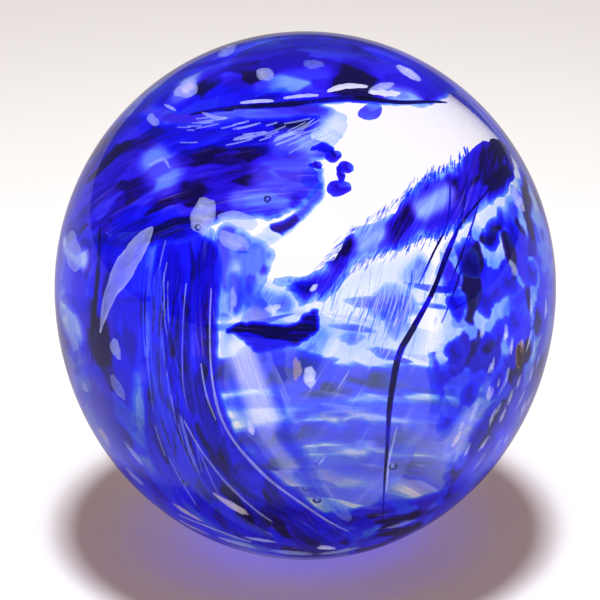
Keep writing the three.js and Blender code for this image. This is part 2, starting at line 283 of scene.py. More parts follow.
def sheet(name, outline, material, depth, strength, milk, ragged, fade, seed, turn=0.0, strokes=(),
          step=GRID_STEP):
    """A thin closed sheet of colour inside an outline of directions. turn is the heading of its
    flow in degrees, ragged the depth and length of the tears along its rim in degrees,
    fade how far in from its rim its colour is thinner, and strokes what is laid on it."""
    loop_units = smooth_directions(outline, closed=True)
    axis = unit(loop_units.mean(0))
    across, up = local_axes(axis, turn)
    loop = flatten(loop_units, axis, across, up)
    tear, tear_length = ragged
    if tear:
        along = unit(np.roll(loop, -1, axis=0) - np.roll(loop, 1, axis=0))
        outward = along @ np.array([[0, -1], [1, 0]])
        shift = waves(loop * TEAR_STRETCH, tear_length, seed)
        shift += FINE_TEAR * waves(loop, tear_length / FINE_TEARS, seed + 1)
        loop = loop + outward * (tear * shift)[:, None]
    low, high = loop.min(0) - step, loop.max(0) + step
    columns = np.arange(low[0], high[0] + step, step)
    rows = np.arange(low[1], high[1] + step, step)
    x, y = np.meshgrid(columns, rows, indexing="ij")
    flat = np.stack([x.ravel(), y.ravel()], axis=1)
    inside, nearest = rim_distance(flat, loop)
    kept = (inside > -RIM_REACH * step).reshape(x.shape)
    cells = kept[:-1, :-1] & kept[1:, :-1] & kept[1:, 1:] & kept[:-1, 1:]
    number = np.arange(x.size).reshape(x.shape)
    corners = [number[:-1, :-1], number[1:, :-1], number[1:, 1:], number[:-1, 1:]]
    quads = largest_part(np.stack(corners, axis=-1)[cells])
    rim_points = np.unique(rim_edges(quads, x.size))
    near_rim = rim_points[np.abs(inside[rim_points]) < RIM_SNAP * step]
    flat[near_rim] = nearest[near_rim]
    inside[rim_points] = 0
    used, quads = np.unique(quads, return_inverse=True)
    quads = quads.reshape(-1, 4)
    flat, inside = flat[used], np.maximum(inside[used], 0)
    units = unflatten(flat, axis, across, up)
    thin = smoothstep(0, fade, inside)
    density = strength * (RIM_STRENGTH + (1 - RIM_STRENGTH) * thin)
    milk = np.full(len(units), milk)
    for *path, half_width, new_density, new_milk in strokes:
        share = laid(units, path, half_width)
        density += share * (new_density - density)
        milk += share * (new_milk - milk)
    sway = SHEET_RELIEF * waves(units * BALL_RADIUS / MM, SWAY_LENGTH, seed + 2)
    half = THICKNESS * (THIN_SHARE + (1 - THIN_SHARE) * thin) / 2
    return shell_object(name, units, depth + sway, half, quads, flat * DEGREE_LENGTH, density, milk,
                        material)


def laid(units, path, half_width):
    """How far, from 0 to 1, each direction is covered by a soft stroke along a path."""
    middle = smooth_directions(path, closed=False) if len(path) > 1 else directions(path)
    gap = np.degrees(np.arccos(np.clip(units @ middle.T, -1, 1))).min(1)
    return 1 - smoothstep(half_width * (1 - STROKE_SOFTNESS), half_width * (1 + STROKE_SOFTNESS), gap)


def largest_part(quads):
    """The quads of the largest stretch that hangs together by its edges."""
    owner = {}
    parent = list(range(len(quads)))

    def root(i):
        while parent[i] != i:
            parent[i] = parent[parent[i]]
            i = parent[i]
        return i

    for i, quad in enumerate(quads.tolist()):
        for a, b in zip(quad, quad[1:] + quad[:1]):
            key = (a, b) if a < b else (b, a)
            other = owner.setdefault(key, i)
            if other != i:
                parent[root(i)] = root(other)
    roots = np.array([root(i) for i in range(len(quads))])
    names, counts = np.unique(roots, return_counts=True)
    return quads[roots == names[counts.argmax()]]


def strip(name, path, width, material, depth=FOLD_DEPTH, strength=0.8, milk=0.0, edge=0.4, seed=0,
          wander=0.0, across_steps=8, steps=10):
    """A narrow closed piece of colour along a path. width is its half width in degrees, or one
    for each point of the path, and edge how strong its colour is along its sides."""
    middle = smooth_directions(path, closed=False, steps=steps)
    count = len(middle)
    t = np.linspace(0, 1, count)
    widths = np.broadcast_to(np.asarray(width, dtype=float), (len(path),))
    half = np.interp(t, np.linspace(0, 1, len(path)), widths)
    half = half * np.maximum(TIP_WIDTH, np.sin(math.pi * t) ** 0.5)
    if wander:
        half = half * (1 + wander * waves(t[:, None], WANDER_LENGTH, seed))
    heading = unit(np.gradient(middle, axis=0))
    side = unit(np.cross(middle, heading))
    s = np.linspace(-1, 1, across_steps + 1)
    offset = np.radians(half)[:, None] * s[None]
    units = unit(middle[:, None] + side[:, None] * offset[..., None]).reshape(-1, 3)
    lens = np.broadcast_to(np.sqrt(np.maximum(1 - s**2, 0)), (count, len(s))).ravel()
    body = THICKNESS * (THIN_SHARE + (1 - THIN_SHARE) * lens) / 2
    density = strength * (edge + (1 - edge) * lens)
    number = np.arange(count * len(s)).reshape(count, len(s))
    quads = np.stack(
        [number[:-1, :-1], number[:-1, 1:], number[1:, 1:], number[1:, :-1]], axis=-1
    ).reshape(-1, 4)
    length = np.concatenate([[0], np.cumsum(np.linalg.norm(np.diff(middle, axis=0), axis=1))])
    flow = np.stack([np.repeat(length, len(s)), offset.ravel()], axis=1) * BALL_RADIUS / MM
    return shell_object(name, units, depth, body, facing_out(units, quads), flow, density, milk,
                        material)


def facing_out(units, quads):
    """The quads, turned over if they wind as seen from inside the ball."""
    a, b, c = units[quads[:, 0]], units[quads[:, 1]], units[quads[:, 2]]
    winds_inward = (np.cross(b - a, c - b) * a).sum() < 0
    return quads[:, ::-1] if winds_inward else quads


def grain(name, at, size, turn, material, depth=FOLD_DEPTH, strength=0.8, milk=0.0, edge=0.15,
          seed=0, uneven=0.12, rings=6, spokes=22):
    """A flat rounded closed grain of glass. size is its width and height in degrees."""
    axis = directions([at])[0]
    across, up = local_axes(axis, turn)
    angle = np.linspace(0, TURN, spokes, endpoint=False)
    rim = 1 + uneven * waves(np.stack([np.cos(angle), np.sin(angle)], axis=1), GRAIN_WAVE, seed)
    share = np.linspace(0, 1, rings + 1)[1:]
    circle = np.stack([np.cos(angle) * size[0] / 2, np.sin(angle) * size[1] / 2], axis=1)
    flat = (share[:, None, None] * (circle * rim[:, None])[None]).reshape(-1, 2)
    flat = np.concatenate([flat, [[0.0, 0.0]]])
    lens = np.concatenate([np.repeat(np.sqrt(1 - (share * GRAIN_SPAN) ** 2), spokes), [1.0]])
    number = np.arange(rings * spokes).reshape(rings, spokes)
    after = np.roll(number, -1, axis=1)
    quads = np.stack([number[:-1], number[1:], after[1:], after[:-1]], axis=-1).reshape(-1, 4)
    hub = np.full(spokes // 2, len(flat) - 1)
    inner = number[0]
    wedges = np.stack([hub, inner[0::2], inner[1::2], np.roll(inner, -2)[0::2]], axis=1)
    quads = np.concatenate([quads, wedges])
    units = unflatten(flat, axis, across, up)
    body = GRAIN_THICKNESS * (GRAIN_THIN_SHARE + (1 - GRAIN_THIN_SHARE) * lens) / 2
    share = edge + (1 - edge) * lens**1.5
    return shell_object(name, units, depth, body, facing_out(units, quads), flat * DEGREE_LENGTH,
                        strength * share, milk * share, material)


def joined(name, parts):
    """The parts as one piece."""
    for part in parts[1:]:
        part.select_set(False)
    with bpy.context.temp_override(active_object=parts[0], selected_editable_objects=parts):
        bpy.ops.object.join()
    parts[0].name = name
    parts[0].data.name = name
    return parts[0]


# ---- Materials ----


def linear(colour):
    """A colour given as three sRGB numbers from 0 to 255, as linear light with an alpha of 1."""
    share = np.asarray(colour, dtype=float) / 255
    light = np.where(share <= 0.04045, share / 12.92, ((share + 0.055) / 1.055) ** 2.4)
    return (*light.tolist(), 1.0)


def per_face(colour):
    """What each of a thin body's two faces lets through, for this colour through both."""
    red, green, blue, _ = linear(colour)
    return (math.sqrt(red), math.sqrt(green), math.sqrt(blue), 1.0)


class Nodes:
    """A short way to write a material's node tree."""

    def __init__(self, name):
        self.material = bpy.data.materials.new(name)
        self.material.use_nodes = True
        self.tree = self.material.node_tree
        self.tree.nodes.clear()
        self.output = self.tree.nodes.new("ShaderNodeOutputMaterial")

    def add(self, kind, inputs=None, **settings):
        node = self.tree.nodes.new(kind)
        for key, value in settings.items():
            setattr(node, key, value)
        for key, value in (inputs or {}).items():
            socket = node.inputs[key]
            if isinstance(value, bpy.types.NodeSocket):
                self.tree.links.new(value, socket)
            else:
                socket.default_value = value
        return node

    def math(self, operation, a, b=0.0, c=0.0, clamp=False):
        node = self.add("ShaderNodeMath", {0: a, 1: b, 2: c}, operation=operation, use_clamp=clamp)
        return node.outputs[0]

    def ramp(self, factor, stops, interpolation="EASE"):
        node = self.add("ShaderNodeValToRGB", {"Fac": factor})
        node.color_ramp.interpolation = interpolation
        elements = node.color_ramp.elements
        while len(elements) > 1:
            elements.remove(elements[-1])
        elements[0].position, elements[0].color = stops[0]
        for position, colour in stops[1:]:
            elements.new(position).color = colour
        return node.outputs["Color"]

    def noise(self, vector, scale, detail=3.0, roughness=0.55, distortion=0.0):
        return self.add("ShaderNodeTexNoise", {
            "Vector": vector, "Scale": scale, "Detail": detail, "Roughness": roughness,
            "Distortion": distortion,
        }).outputs["Fac"]

    def mixed(self, factor, a, b):
        node = self.add("ShaderNodeMix", data_type="RGBA")
        for key, value in ((0, factor), (6, a), (7, b)):
            if isinstance(value, bpy.types.NodeSocket):
                self.tree.links.new(value, node.inputs[key])
            else:
                node.inputs[key].default_value = value
        return node.outputs[2]

    def stretched(self, along, across, shift=0.0):
        """The flow coordinates, in mm, times one number along the flow and one across it."""
        uv = self.add("ShaderNodeUVMap", uv_map="flow").outputs["UV"]
        return self.add("ShaderNodeMapping", {
            "Vector": uv, "Location": (shift, shift, shift), "Scale": (along, across, 1.0),
        }).outputs["Vector"]

    def finish(self, surface):
        self.tree.links.new(surface, self.output.inputs["Surface"])
        return self.material


# How light comes through the colour as it gets thicker, and what the glass itself shows.
THROUGH = [
    (0.00, (255, 255, 255)), (0.10, (206, 224, 255)), (0.22, (138, 184, 255)),
    (0.36, (80, 120, 255)), (0.50, (52, 56, 255)), (0.66, (42, 18, 238)),
    (0.84, (28, 2, 196)), (1.00, (12, 0, 76)),
]
BODY = [
    (0.00, (190, 212, 255)), (0.30, (96, 120, 255)), (0.55, (60, 40, 240)),
    (0.80, (30, 6, 170)), (1.00, (14, 0, 84)),
]
WHITE = (238, 236, 252)
THROUGH_WHITE = (236, 236, 250)
COVER = [(0.0, 0.0), (0.15, 0.05), (0.5, 0.18), (1.0, 0.24)]
MILK_COVER = 0.8
CELL_WARP = (1.4, 1.4, 0.0)  # how far the cells are melted out of shape, in cells
CELL_SOFTNESS = 0.18
STREAK_GAIN = 3  # these spread the noises' narrow range over the depth of colour
CELL_GAIN = 2
FINE_WISPS = (7.0, -4.1)  # gain and shift that leave only the noise's brightest threads
WISP_PATCHES = (6.0, -2.7)


def colour_glass(name, streaks=0.35, streak_size=(4.0, 0.5), cells=0.5, cell_size=(3.0, 2.0),
                 wisps=0.0, shift=0.0, body=BODY, through=THROUGH):
    """Coloured glass in a clear ball: it tints what is behind it by how thick the mesh says it
    is and shows a little of its own colour. It is drawn out in streaks along its flow, made of
    melted cells of deeper and paler colour, and carries fine white wisps. Sizes in mm."""
    n = Nodes(name)
    density = n.add("ShaderNodeAttribute", attribute_name="colour_depth").outputs["Fac"]
    milk = n.add("ShaderNodeAttribute", attribute_name="milk").outputs["Fac"]
    streak = n.noise(n.stretched(1 / streak_size[0], 1 / streak_size[1], shift), 1.0, 4.0, 0.6, 0.3)
    grid = n.stretched(1 / cell_size[0], 1 / cell_size[1], shift + 7)
    warp = n.add("ShaderNodeTexNoise", {"Vector": grid, "Scale": 0.9, "Detail": 2.0}).outputs["Color"]
    warped = n.add("ShaderNodeVectorMath", {0: warp, 1: CELL_WARP, 2: grid},
                   operation="MULTIPLY_ADD").outputs[0]
    cell = n.add("ShaderNodeTexVoronoi", {"Vector": warped, "Scale": 1.0, "Smoothness": CELL_SOFTNESS},
                 feature="SMOOTH_F1").outputs["Color"]
    cell = n.add("ShaderNodeSeparateColor", {0: cell})
    factor = n.math("MULTIPLY_ADD", n.math("SUBTRACT", streak, 0.5), streaks * STREAK_GAIN, 1.0)
    factor = n.math("MULTIPLY_ADD", n.math("SUBTRACT", cell.outputs["Red"], 0.5), cells * CELL_GAIN, factor)
    thick = n.math("MULTIPLY", density, factor, clamp=True)
    fine = n.noise(n.stretched(0.5 / streak_size[0], 1.6 / streak_size[1], shift + 3), 1.0, 3.0, 0.5, 0.2)
    patch = n.noise(n.stretched(0.14, 0.2, shift + 9), 1.0, 2.0)
    wisp = n.math("MULTIPLY", n.math("MULTIPLY_ADD", fine, *FINE_WISPS, clamp=True),
                  n.math("MULTIPLY_ADD", patch, *WISP_PATCHES, clamp=True))
    uneven = n.math("MULTIPLY_ADD", n.math("SUBTRACT", streak, 0.5), 1.0, 1.0)
    milk = n.math("MULTIPLY_ADD", wisp, wisps, n.math("MULTIPLY", milk, uneven), clamp=True)
    tint = n.ramp(thick, [(at, per_face(colour)) for at, colour in through])
    tint = n.mixed(milk, tint, per_face(THROUGH_WHITE))
    own = n.mixed(milk, n.ramp(thick, [(at, linear(colour)) for at, colour in body]), linear(WHITE))
    shown = n.ramp(thick, [(at, (share, share, share, 1.0)) for at, share in COVER])
    shown = n.math("MAXIMUM", shown, n.math("MULTIPLY", milk, MILK_COVER))
    shown = n.math("MULTIPLY", shown, 0.5)
    clear = n.add("ShaderNodeBsdfTransparent", {"Color": tint}).outputs[0]
    lit = n.add("ShaderNodeBsdfDiffuse", {"Color": own}).outputs[0]
    glowing = n.add("ShaderNodeBsdfTranslucent", {"Color": own}).outputs[0]
    solid = n.add("ShaderNodeMixShader", {0: 0.5, 1: lit, 2: glowing}).outputs[0]
    return n.finish(n.add("ShaderNodeMixShader", {0: shown, 1: clear, 2: solid}).outputs[0])


GLASS_IOR = 1.5
# What the lower half lets through to lamps and floor: distance from the axis in ball radii, colour.
SHADOW = [(0.35, (0.15, 0.10, 0.36, 1.0)), (0.62, (0.165, 0.10, 0.10, 1.0)),
          (0.82, (0.18, 0.105, 0.02, 1.0))]
BUBBLES_WITHIN = 0.945  # share of the way out; the bubbles' own walls lie inside it and are not tinted


def clear_glass():
    """Clear polished glass. Light on its way to the floor is dimmed and, near the ball's axis,
    tinted in the lower half, as by the colour inside it."""
    n = Nodes("clear_glass")
    glass = n.add("ShaderNodeBsdfPrincipled", {
        "Base Color": (1.0, 1.0, 1.0, 1.0), "Roughness": 0.0, "IOR": GLASS_IOR,
        "Transmission Weight": 1.0,
    }).outputs[0]
    spot = n.add("ShaderNodeTexCoord").outputs["Object"]
    level = n.add("ShaderNodeVectorMath", {0: spot, 1: (1 / BALL_RADIUS, 1 / BALL_RADIUS, 0.0)},
                  operation="MULTIPLY").outputs["Vector"]
    from_axis = n.add("ShaderNodeVectorMath", {0: level}, operation="LENGTH").outputs["Value"]
    height = n.add("ShaderNodeSeparateXYZ", {0: spot}).outputs["Z"]
    above = n.math("GREATER_THAN", height, WIDEST_LEVEL)
    scaled = n.add("ShaderNodeVectorMath", {
        0: spot, 1: (1 / BALL_RADIUS, 1 / BALL_RADIUS, 1 / LOWER_HALF_AXIS),
        2: (0.0, 0.0, -WIDEST_LEVEL / LOWER_HALF_AXIS),
    }, operation="MULTIPLY_ADD").outputs["Vector"]
    from_middle = n.add("ShaderNodeVectorMath", {0: scaled}, operation="LENGTH").outputs["Value"]
    untinted = n.math("MAXIMUM", above, n.math("LESS_THAN", from_middle, BUBBLES_WITHIN))
    tint = n.mixed(untinted, n.ramp(from_axis, SHADOW), (1.0, 1.0, 1.0, 1.0))
    lamp = n.add("ShaderNodeBsdfTransparent", {"Color": tint}).outputs[0]
    to_lamp = n.add("ShaderNodeLightPath").outputs["Is Shadow Ray"]
    return n.finish(n.add("ShaderNodeMixShader", {0: to_lamp, 1: glass, 2: lamp}).outputs[0])


# ---- The clear ball ----

BALL_SPOKES = 160
BALL_ROWS = 112
EDGE_ROUND = 0.5 * MM  # the polished edge round the ground base
BUBBLE_ROWS = 14
EDGE_STEPS = 6
BASE_STEPS = 8
EDGE_ANGLE = 0.02  # radians of the side that the rounded edge takes


def turned_mesh(vertices, faces, profile, spokes, flip=False):
    """Adds the body turned from a profile that starts and ends on the axis."""
    first = len(vertices)
    angle = np.linspace(0, TURN, spokes, endpoint=False)
    vertices.append((0.0, 0.0, profile[0][1]))
    for radius, height in profile[1:-1]:
        vertices.extend((radius * math.cos(a), radius * math.sin(a), height) for a in angle)
    vertices.append((0.0, 0.0, profile[-1][1]))
    last = len(vertices) - 1
    rings = len(profile) - 2
    new = []
    for j in range(spokes):
        k = (j + 1) % spokes
        new.append((first, first + 1 + j, first + 1 + k))
        for i in range(rings - 1):
            a = first + 1 + i * spokes
            new.append((a + j, a + spokes + j, a + spokes + k, a + k))
        a = first + 1 + (rings - 1) * spokes
        new.append((a + k, a + j, last))
    faces.extend(tuple(reversed(face)) if flip else face for face in new)
    return range(first, last + 1)


def ball_profile():
    """(radius, height) from the crown over the widest level to the middle of the ground base."""
    base_radius = BALL_RADIUS * math.sqrt(1 - (WIDEST_LEVEL / LOWER_HALF_AXIS) ** 2)
    base_angle = -math.asin(WIDEST_LEVEL / LOWER_HALF_AXIS)
    profile = []
    for angle in np.linspace(math.pi / 2, base_angle + EDGE_ANGLE, BALL_ROWS):
        half_axis = CROWN_RISE if angle > 0 else LOWER_HALF_AXIS
        profile.append((BALL_RADIUS * math.cos(angle), WIDEST_LEVEL + half_axis * math.sin(angle)))
    side = profile[-1]
    corner = (base_radius, 0.0)
    inset = (base_radius - EDGE_ROUND, 0.0)
    for t in np.linspace(0, 1, EDGE_STEPS)[1:]:
        profile.append(tuple(
            (1 - t) ** 2 * side[i] + 2 * t * (1 - t) * corner[i] + t * t * inset[i] for i in (0, 1)
        ))
    profile += [(radius, 0.0) for radius in np.linspace(inset[0], 0, BASE_STEPS)[1:]]
    profile[0] = (0.0, profile[0][1])
    return profile


# Air bubbles: (azimuth, elevation) in degrees, depth and diameter in mm.
BUBBLES = [
    (-12, 44, 3.2, 1.1), (-31, 35, 3.0, 1.0), (48, 33, 3.1, 0.8), (22, -23, 3.0, 1.3),
    (-33, -31, 3.0, 1.3), (3, -32, 3.0, 1.3), (0, -28, 3.0, 0.8), (-4, -54, 2.9, 1.0),
    (128, 20, 3.0, 1.2), (-140, -12, 3.0, 1.1), (160, 35, 3.2, 0.9), (-100, 40, 3.0, 0.8),
]


def make_ball(material):
    """The clear glass as one solid, with its bubbles as hollows in it."""
    vertices, faces = [], []
    turned_mesh(vertices, faces, ball_profile(), BALL_SPOKES)
    for azimuth, elevation, depth, size in BUBBLES:
        place = under_surface(directions([(azimuth, elevation)]), depth * MM)[0]
        angles = np.linspace(math.pi / 2, -math.pi / 2, BUBBLE_ROWS)
        radius = size * MM / 2
        profile = [(radius * math.cos(a), radius * math.sin(a)) for a in angles]
        for i in turned_mesh(vertices, faces, profile, 2 * BUBBLE_ROWS, flip=True):
            vertices[i] = tuple(np.array(vertices[i]) + place)
    mesh = bpy.data.meshes.new("clear_ball")
    mesh.from_pydata([tuple(map(float, v)) for v in vertices], [], faces)
    return linked("clear_ball", mesh, material)


# ---- The colour, piece by piece ----

# Real amber for the fleck, and painted glints: the same peach colour stands in for warm fringes of light at
# the edges of the colour.
AMBER_AND_GLINT_THROUGH = [(0.0, (255, 255, 255)), (0.4, (255, 206, 176)), (0.8, (150, 92, 60)), (1.0, (82, 40, 30))]
AMBER_AND_GLINT_BODY = [(0.0, (255, 236, 222)), (0.5, (240, 200, 176)), (1.0, (96, 52, 36))]

COBALT = colour_glass("cobalt_glass", streaks=0.3, cells=0.25)
STREAKY = colour_glass("streaky_cobalt_glass", streaks=0.34, streak_size=(7.0, 0.4), cells=0.28,
                       cell_size=(7.0, 2.2), wisps=0.6, shift=3.0)
SMOOTH = colour_glass("smooth_cobalt_glass", streaks=0.15, streak_size=(6.0, 0.8), cells=0.45,
                      cell_size=(8.0, 4.5), wisps=0.2, shift=23.0)
CLOUDY = colour_glass("cloudy_cobalt_glass", streaks=0.3, streak_size=(5.0, 0.9), cells=0.55,
                      cell_size=(4.4, 2.8), wisps=0.35, shift=11.0)
FRITTED = colour_glass("fritted_cobalt_glass", streaks=0.15, streak_size=(3.0, 0.8), cells=0.9,
                       cell_size=(4.6, 3.4), wisps=0.3, shift=19.0)
OPAL = colour_glass("opal_glass", streaks=0.2, streak_size=(3.0, 0.9), cells=0.2,
                    cell_size=(1.6, 1.2), shift=5.0)
# Amber glass for the real fleck, also used for painted warm glints.
AMBER_AND_GLINT_GLASS = colour_glass("amber_glass", streaks=0.4, streak_size=(3.0, 0.5), cells=0.3,
                     body=AMBER_AND_GLINT_BODY, through=AMBER_AND_GLINT_THROUGH)
SLOTS = {COBALT: "cobalt_glass", SMOOTH: "cobalt_glass", STREAKY: "cobalt_glass", CLOUDY: "cobalt_glass",
         FRITTED: "cobalt_glass", OPAL: "opal_glass", AMBER_AND_GLINT_GLASS: "amber_glass"}


COLOUR = bpy.data.collections.new("colour")  # every coloured piece, for the lamps that light only it
NOTHING = bpy.data.collections.new("nothing")  # what blocks those lamps


def place(piece, slot, *nodes):
    """Puts a coloured piece in the ball, in the place of its CAD nodes if it has any."""
    COLOUR.objects.link(piece)
    piece.visible_shadow = False  # the clear ball's material stands for the whole shadow
    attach(piece, "root")
    if nodes:
        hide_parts(*nodes)


# Each row: piece, slot, material, flow heading, strength, milk, tear, fade, outline, and strokes
# of (directions..., half width, strength, milk).
VEILS = [
    ("crown_veil", "cobalt_glass", SMOOTH, 0, 0.62, 0.0, (0.8, 8), 2.0,
     [(0, 71.5), (-28, 69.5), (-52, 64), (-74, 57), (-96, 51), (-120, 54), (-142, 46), (-168, 48),
      (170, 42), (145, 50), (118, 47), (96, 55), (72, 60), (52, 66), (30, 70.5)],
     [((-10, 80), (20, 80), 5, 0.46, 0.0), ((42, 74), (70, 78), 4, 0.92, 0.0),
      ((-64, 72), (-50, 74), 4, 0.88, 0.0), ((-90, 60), (-70, 64), 5, 0.78, 0.0),
      ((72, 64), (64, 68), 3, 0.3, 0.2), ((-94, 62), (-84, 60), 3, 0.3, 0.35),
      ((-170, 60), (170, 58), (150, 56), 7, 0.85, 0.0)]),
    ("wave_veil", "cobalt_glass", STREAKY, 35, 0.78, 0.0, (1.0, 7), 2.0,
     [(8, 68), (-24, 66.5), (-48, 62), (-72, 54.5), (-98, 47.5), (-106, 36), (-98, 16), (-80, 14),
      (-64, 20), (-50, 25), (-38, 30), (-27, 37), (-10, 41), (0, 44), (6, 49), (3, 54), (12, 58),
      (2, 62)],
     [((-40, 44), (-38, 51), (-24, 52), 3.5, 0.96, 0.0), ((-64, 46), (-52, 44), 4, 0.46, 0.1),
      ((-14, 50), (0, 52), 4, 0.56, 0.1), ((-10, 60), (2, 60), 3, 0.34, 0.3),
      ((-80, 40), (-66, 36), 5, 0.84, 0.0), ((-22, 44), (-8, 45), 2.5, 0.5, 0.1)]),
    ("curtain_veil", "cobalt_glass", STREAKY, -80, 0.74, 0.0, (0.4, 10), 1.5,
     [(-45, 29), (-36, 34), (-24, 31), (-22, 14), (-20.5, -6), (-14, -20), (-2, -33), (12, -46),
      (20, -58), (14, -69), (-10, -64), (-28, -56), (-40, -44), (-47, -30), (-44, -14), (-41, 6)],
     [((-38, -14), (-34, -28), 3, 0.42, 0.1), ((-25, 22), (-24, 0), (-21, -12), 1.6, 0.92, 0.0),
      ((-34, 24), (-34, 4), 1.5, 0.9, 0.0),
      ((-24, -36), (-14, -48), (0, -56), 3, 0.85, 0.0), ((-40, 14), (-42, 4), 4, 0.6, 0.0)]),
    ("left_veil", "cobalt_glass", SMOOTH, -70, 0.64, 0.05, (0.8, 9), 3.0,
     [(-62, 25), (-48, 30), (-42, 12), (-44, -8), (-48, -28), (-43, -46), (-38, -60), (-50, -70),
      (-76, -62), (-92, -52), (-104, -34), (-98, -14), (-106, 4), (-96, 20), (-78, 22)],
     [((-62, 26), (-60, 14), (-57, -2), 3.2, 0.86, 0.0), ((-86, 14), (-70, 16), 2.6, 0.14, 0.5),
      ((-84, 7), (-68, 9), 4, 0.52, 0.0), ((-78, 0), (-70, -2), 4, 0.2, 0.5),
      ((-66, -16), (-62, -30), 8, 0.5, 0.22), ((-60, -44), (-50, -52), 7, 0.6, 0.16)]),
    ("diagonal_veil", "cobalt_glass", STREAKY, 45, 0.76, 0.0, (0.9, 3), 3.2,
     [(-18, 26), (0, 27), (8, 32), (14, 37), (26, 39), (34, 43), (46, 46), (60, 45), (76, 45),
      (94, 39), (90, 33), (74, 32), (60, 33), (48, 31), (36, 32), (26, 31), (14, 29), (7, 22),
      (-1, 20), (-5, 24)],
     [((72, 40), (90, 37), 6, 0.95, 0.0), ((16, 34), (22, 36), 2.5, 0.36, 0.2),
      ((9, 30), (12, 34), 2, 0.85, 0.0), ((28, 35), (33, 38), 3, 0.82, 0.0),
      ((38, 39), (50, 40), 2.5, 0.34, 0.25), ((54, 36), (60, 40), 3, 0.85, 0.0)]),
    ("pale_veil", "pale_blue_glass", STREAKY, -70, 0.32, 0.16, (0.8, 6), 3.0,
     [(-20.5, 13), (-10, 10), (-4, -4), (0, -18), (8, -33), (15, -46), (2, -35), (-11, -20), (-19, -6)],
     [((-16, 8), (-13, 0), (-10, -10), 3.4, 0.05, 0.7), ((-10, -14), (-4, -24), 2.0, 0.12, 0.4)]),
    ("right_veil", "pale_blue_glass", FRITTED, 70, 0.62, 0.03, (1.5, 5), 3.0,
     [(90, 31), (66, 31), (48, 29), (38, 27), (34, 15), (30, 5), (32, -8), (35, -20), (42, -36),
      (52, -56), (74, -64), (92, -46), (104, -26), (102, -4), (106, 12), (100, 26)],
     [((84, 20), (84, -10), 6, 0.5, 0.15),
      ((66, -20), (60, -34), 9, 0.42, 0.25), ((44, -16), (40, -24), 4, 0.2, 0.45)]),
    ("back_left_veil", "cobalt_glass", FRITTED, 60, 0.66, 0.0, (2, 8), 3.0,
     [(-110, 40), (-132, 44), (-150, 34), (-146, 14), (-154, -6), (-148, -24), (-156, -44), (-128, -50),
      (-108, -38), (-116, -12), (-108, 8), (-116, 24)],
     [((-134, 10), (-130, -30), 7, 0.85, 0.0), ((-142, -40), (-124, -30), 4, 0.2, 0.5)]),
    ("back_right_veil", "cobalt_glass", CLOUDY, -60, 0.62, 0.0, (2, 8), 3.0,
     [(112, 40), (126, 45), (146, 40), (150, 22), (142, 4), (150, -14), (144, -32), (152, -46),
      (124, -50), (106, -42), (108, -20), (112, 0), (108, 20)],
     [((130, 24), (126, -10), 6, 0.88, 0.0), ((140, 30), (136, 14), 3, 0.2, 0.5)]),
    ("lower_back_veil", "navy_glass", CLOUDY, 0, 0.8, 0.0, (1.5, 6), 3.0,
     [(160, -50), (178, -53), (-164, -49), (-146, -56), (-160, -66), (176, -72), (150, -68), (138, -56)],
     []),
]

# Thinner colour that has run in behind the veils.
WASHES = [
    ("crown_wash", STREAKY, 30, 0.6, 0.05, (1.5, 6), 2.0,
     [(26, 70), (8, 76), (-30, 78), (-64, 74), (-92, 66), (-112, 56), (-104, 44), (-60, 50), (-30, 58),
      (-4, 58), (10, 60), (22, 63)],
     [((24, 68), (12, 64), (2, 62), 3, 0.14, 0.4), ((-34, 62), (-26, 60), 2, 0.5, 0.3)]),
    ("left_wash", STREAKY, -75, 0.5, 0.0, (1.0, 7), 3.0,
     [(-66, 32), (-46, 38), (-28, 34), (-30, 8), (-30, -12), (-22, -34), (-8, -54), (-26, -66),
      (-60, -64), (-66, -44), (-58, -20), (-56, 2), (-64, 16)],
     [((-52, -8), (-54, -30), 6, 0.3, 0.15)]),
    ("middle_wash", STREAKY, 60, 0.07, 0.12, (1.0, 6), 4.0,
     [(-22, 27), (-10, 26), (2, 22), (12, 28), (22, 31), (36, 31), (38, 18), (32, 4), (34, -12),
      (30, -30), (20, -44), (8, -40), (2, -24), (-6, -6), (-6, 10), (-22, 16)],
     [((-16, 22), (-6, 20), 2.5, 0.35, 0.05), ((-20, 25), (-19, 18), 1.8, 0.5, 0.0),
      ((3, 12), (0, 4), 3, 0.3, 0.0), ((8, 20), (24, 22), 4, 0.05, 0.25),
      ((24, 8), (28, 16), 3, 0.04, 0.3),
      ((30, 24), (34, 26), 2.5, 0.32, 0.1), ((28, -28), (22, -36), 5, 0.3, 0.35)]),
    ("lip_root", SMOOTH, -80, 0.5, 0.08, (0.6, 4), 1.0,
     [(-28, 37), (-15, 36), (-9, 32), (-11, 25), (-15, 18), (-24, 15)],
     [((-20, 28), (-20, 18), 1.5, 0.3, 0.3), ((-12, 26), (-14, 20), 1.2, 0.2, 0.2)]),
    ("base_wash", CLOUDY, 0, 0.62, 0.05, (0.8, 5), 2.0,
     [(6, -44), (24, -42), (44, -42), (66, -46), (74, -58), (50, -66), (14, -66), (-4, -58)],
     [((20, -50), (40, -52), 3, 0.85, 0.0)]),
    ("right_wash", CLOUDY, 75, 0.1, 0.08, (1.5, 6), 4.0,
     [(96, 36), (70, 34), (50, 30), (42, 18), (36, 2), (38, -16), (48, -40), (60, -60), (80, -56),
      (98, -36), (112, -8), (108, 20)],
     [((62, 16), (66, -4), 5, 0.25, 0.0)]),
    ("back_wash", CLOUDY, 10, 0.06, 0.08, (2.0, 8), 6.0,
     [(136, -8), (150, -16), (164, -26), (182, -26), (-164, -20), (-148, -10), (-136, -2), (-140, -24),
      (-136, -46), (-160, -52), (176, -50), (156, -52), (138, -44), (142, -18)],
     [((158, -44), (162, -42), 3, 0.06, 0.3), ((166, -28), (176, -29), 2, 0.1, 0.1)]),
]

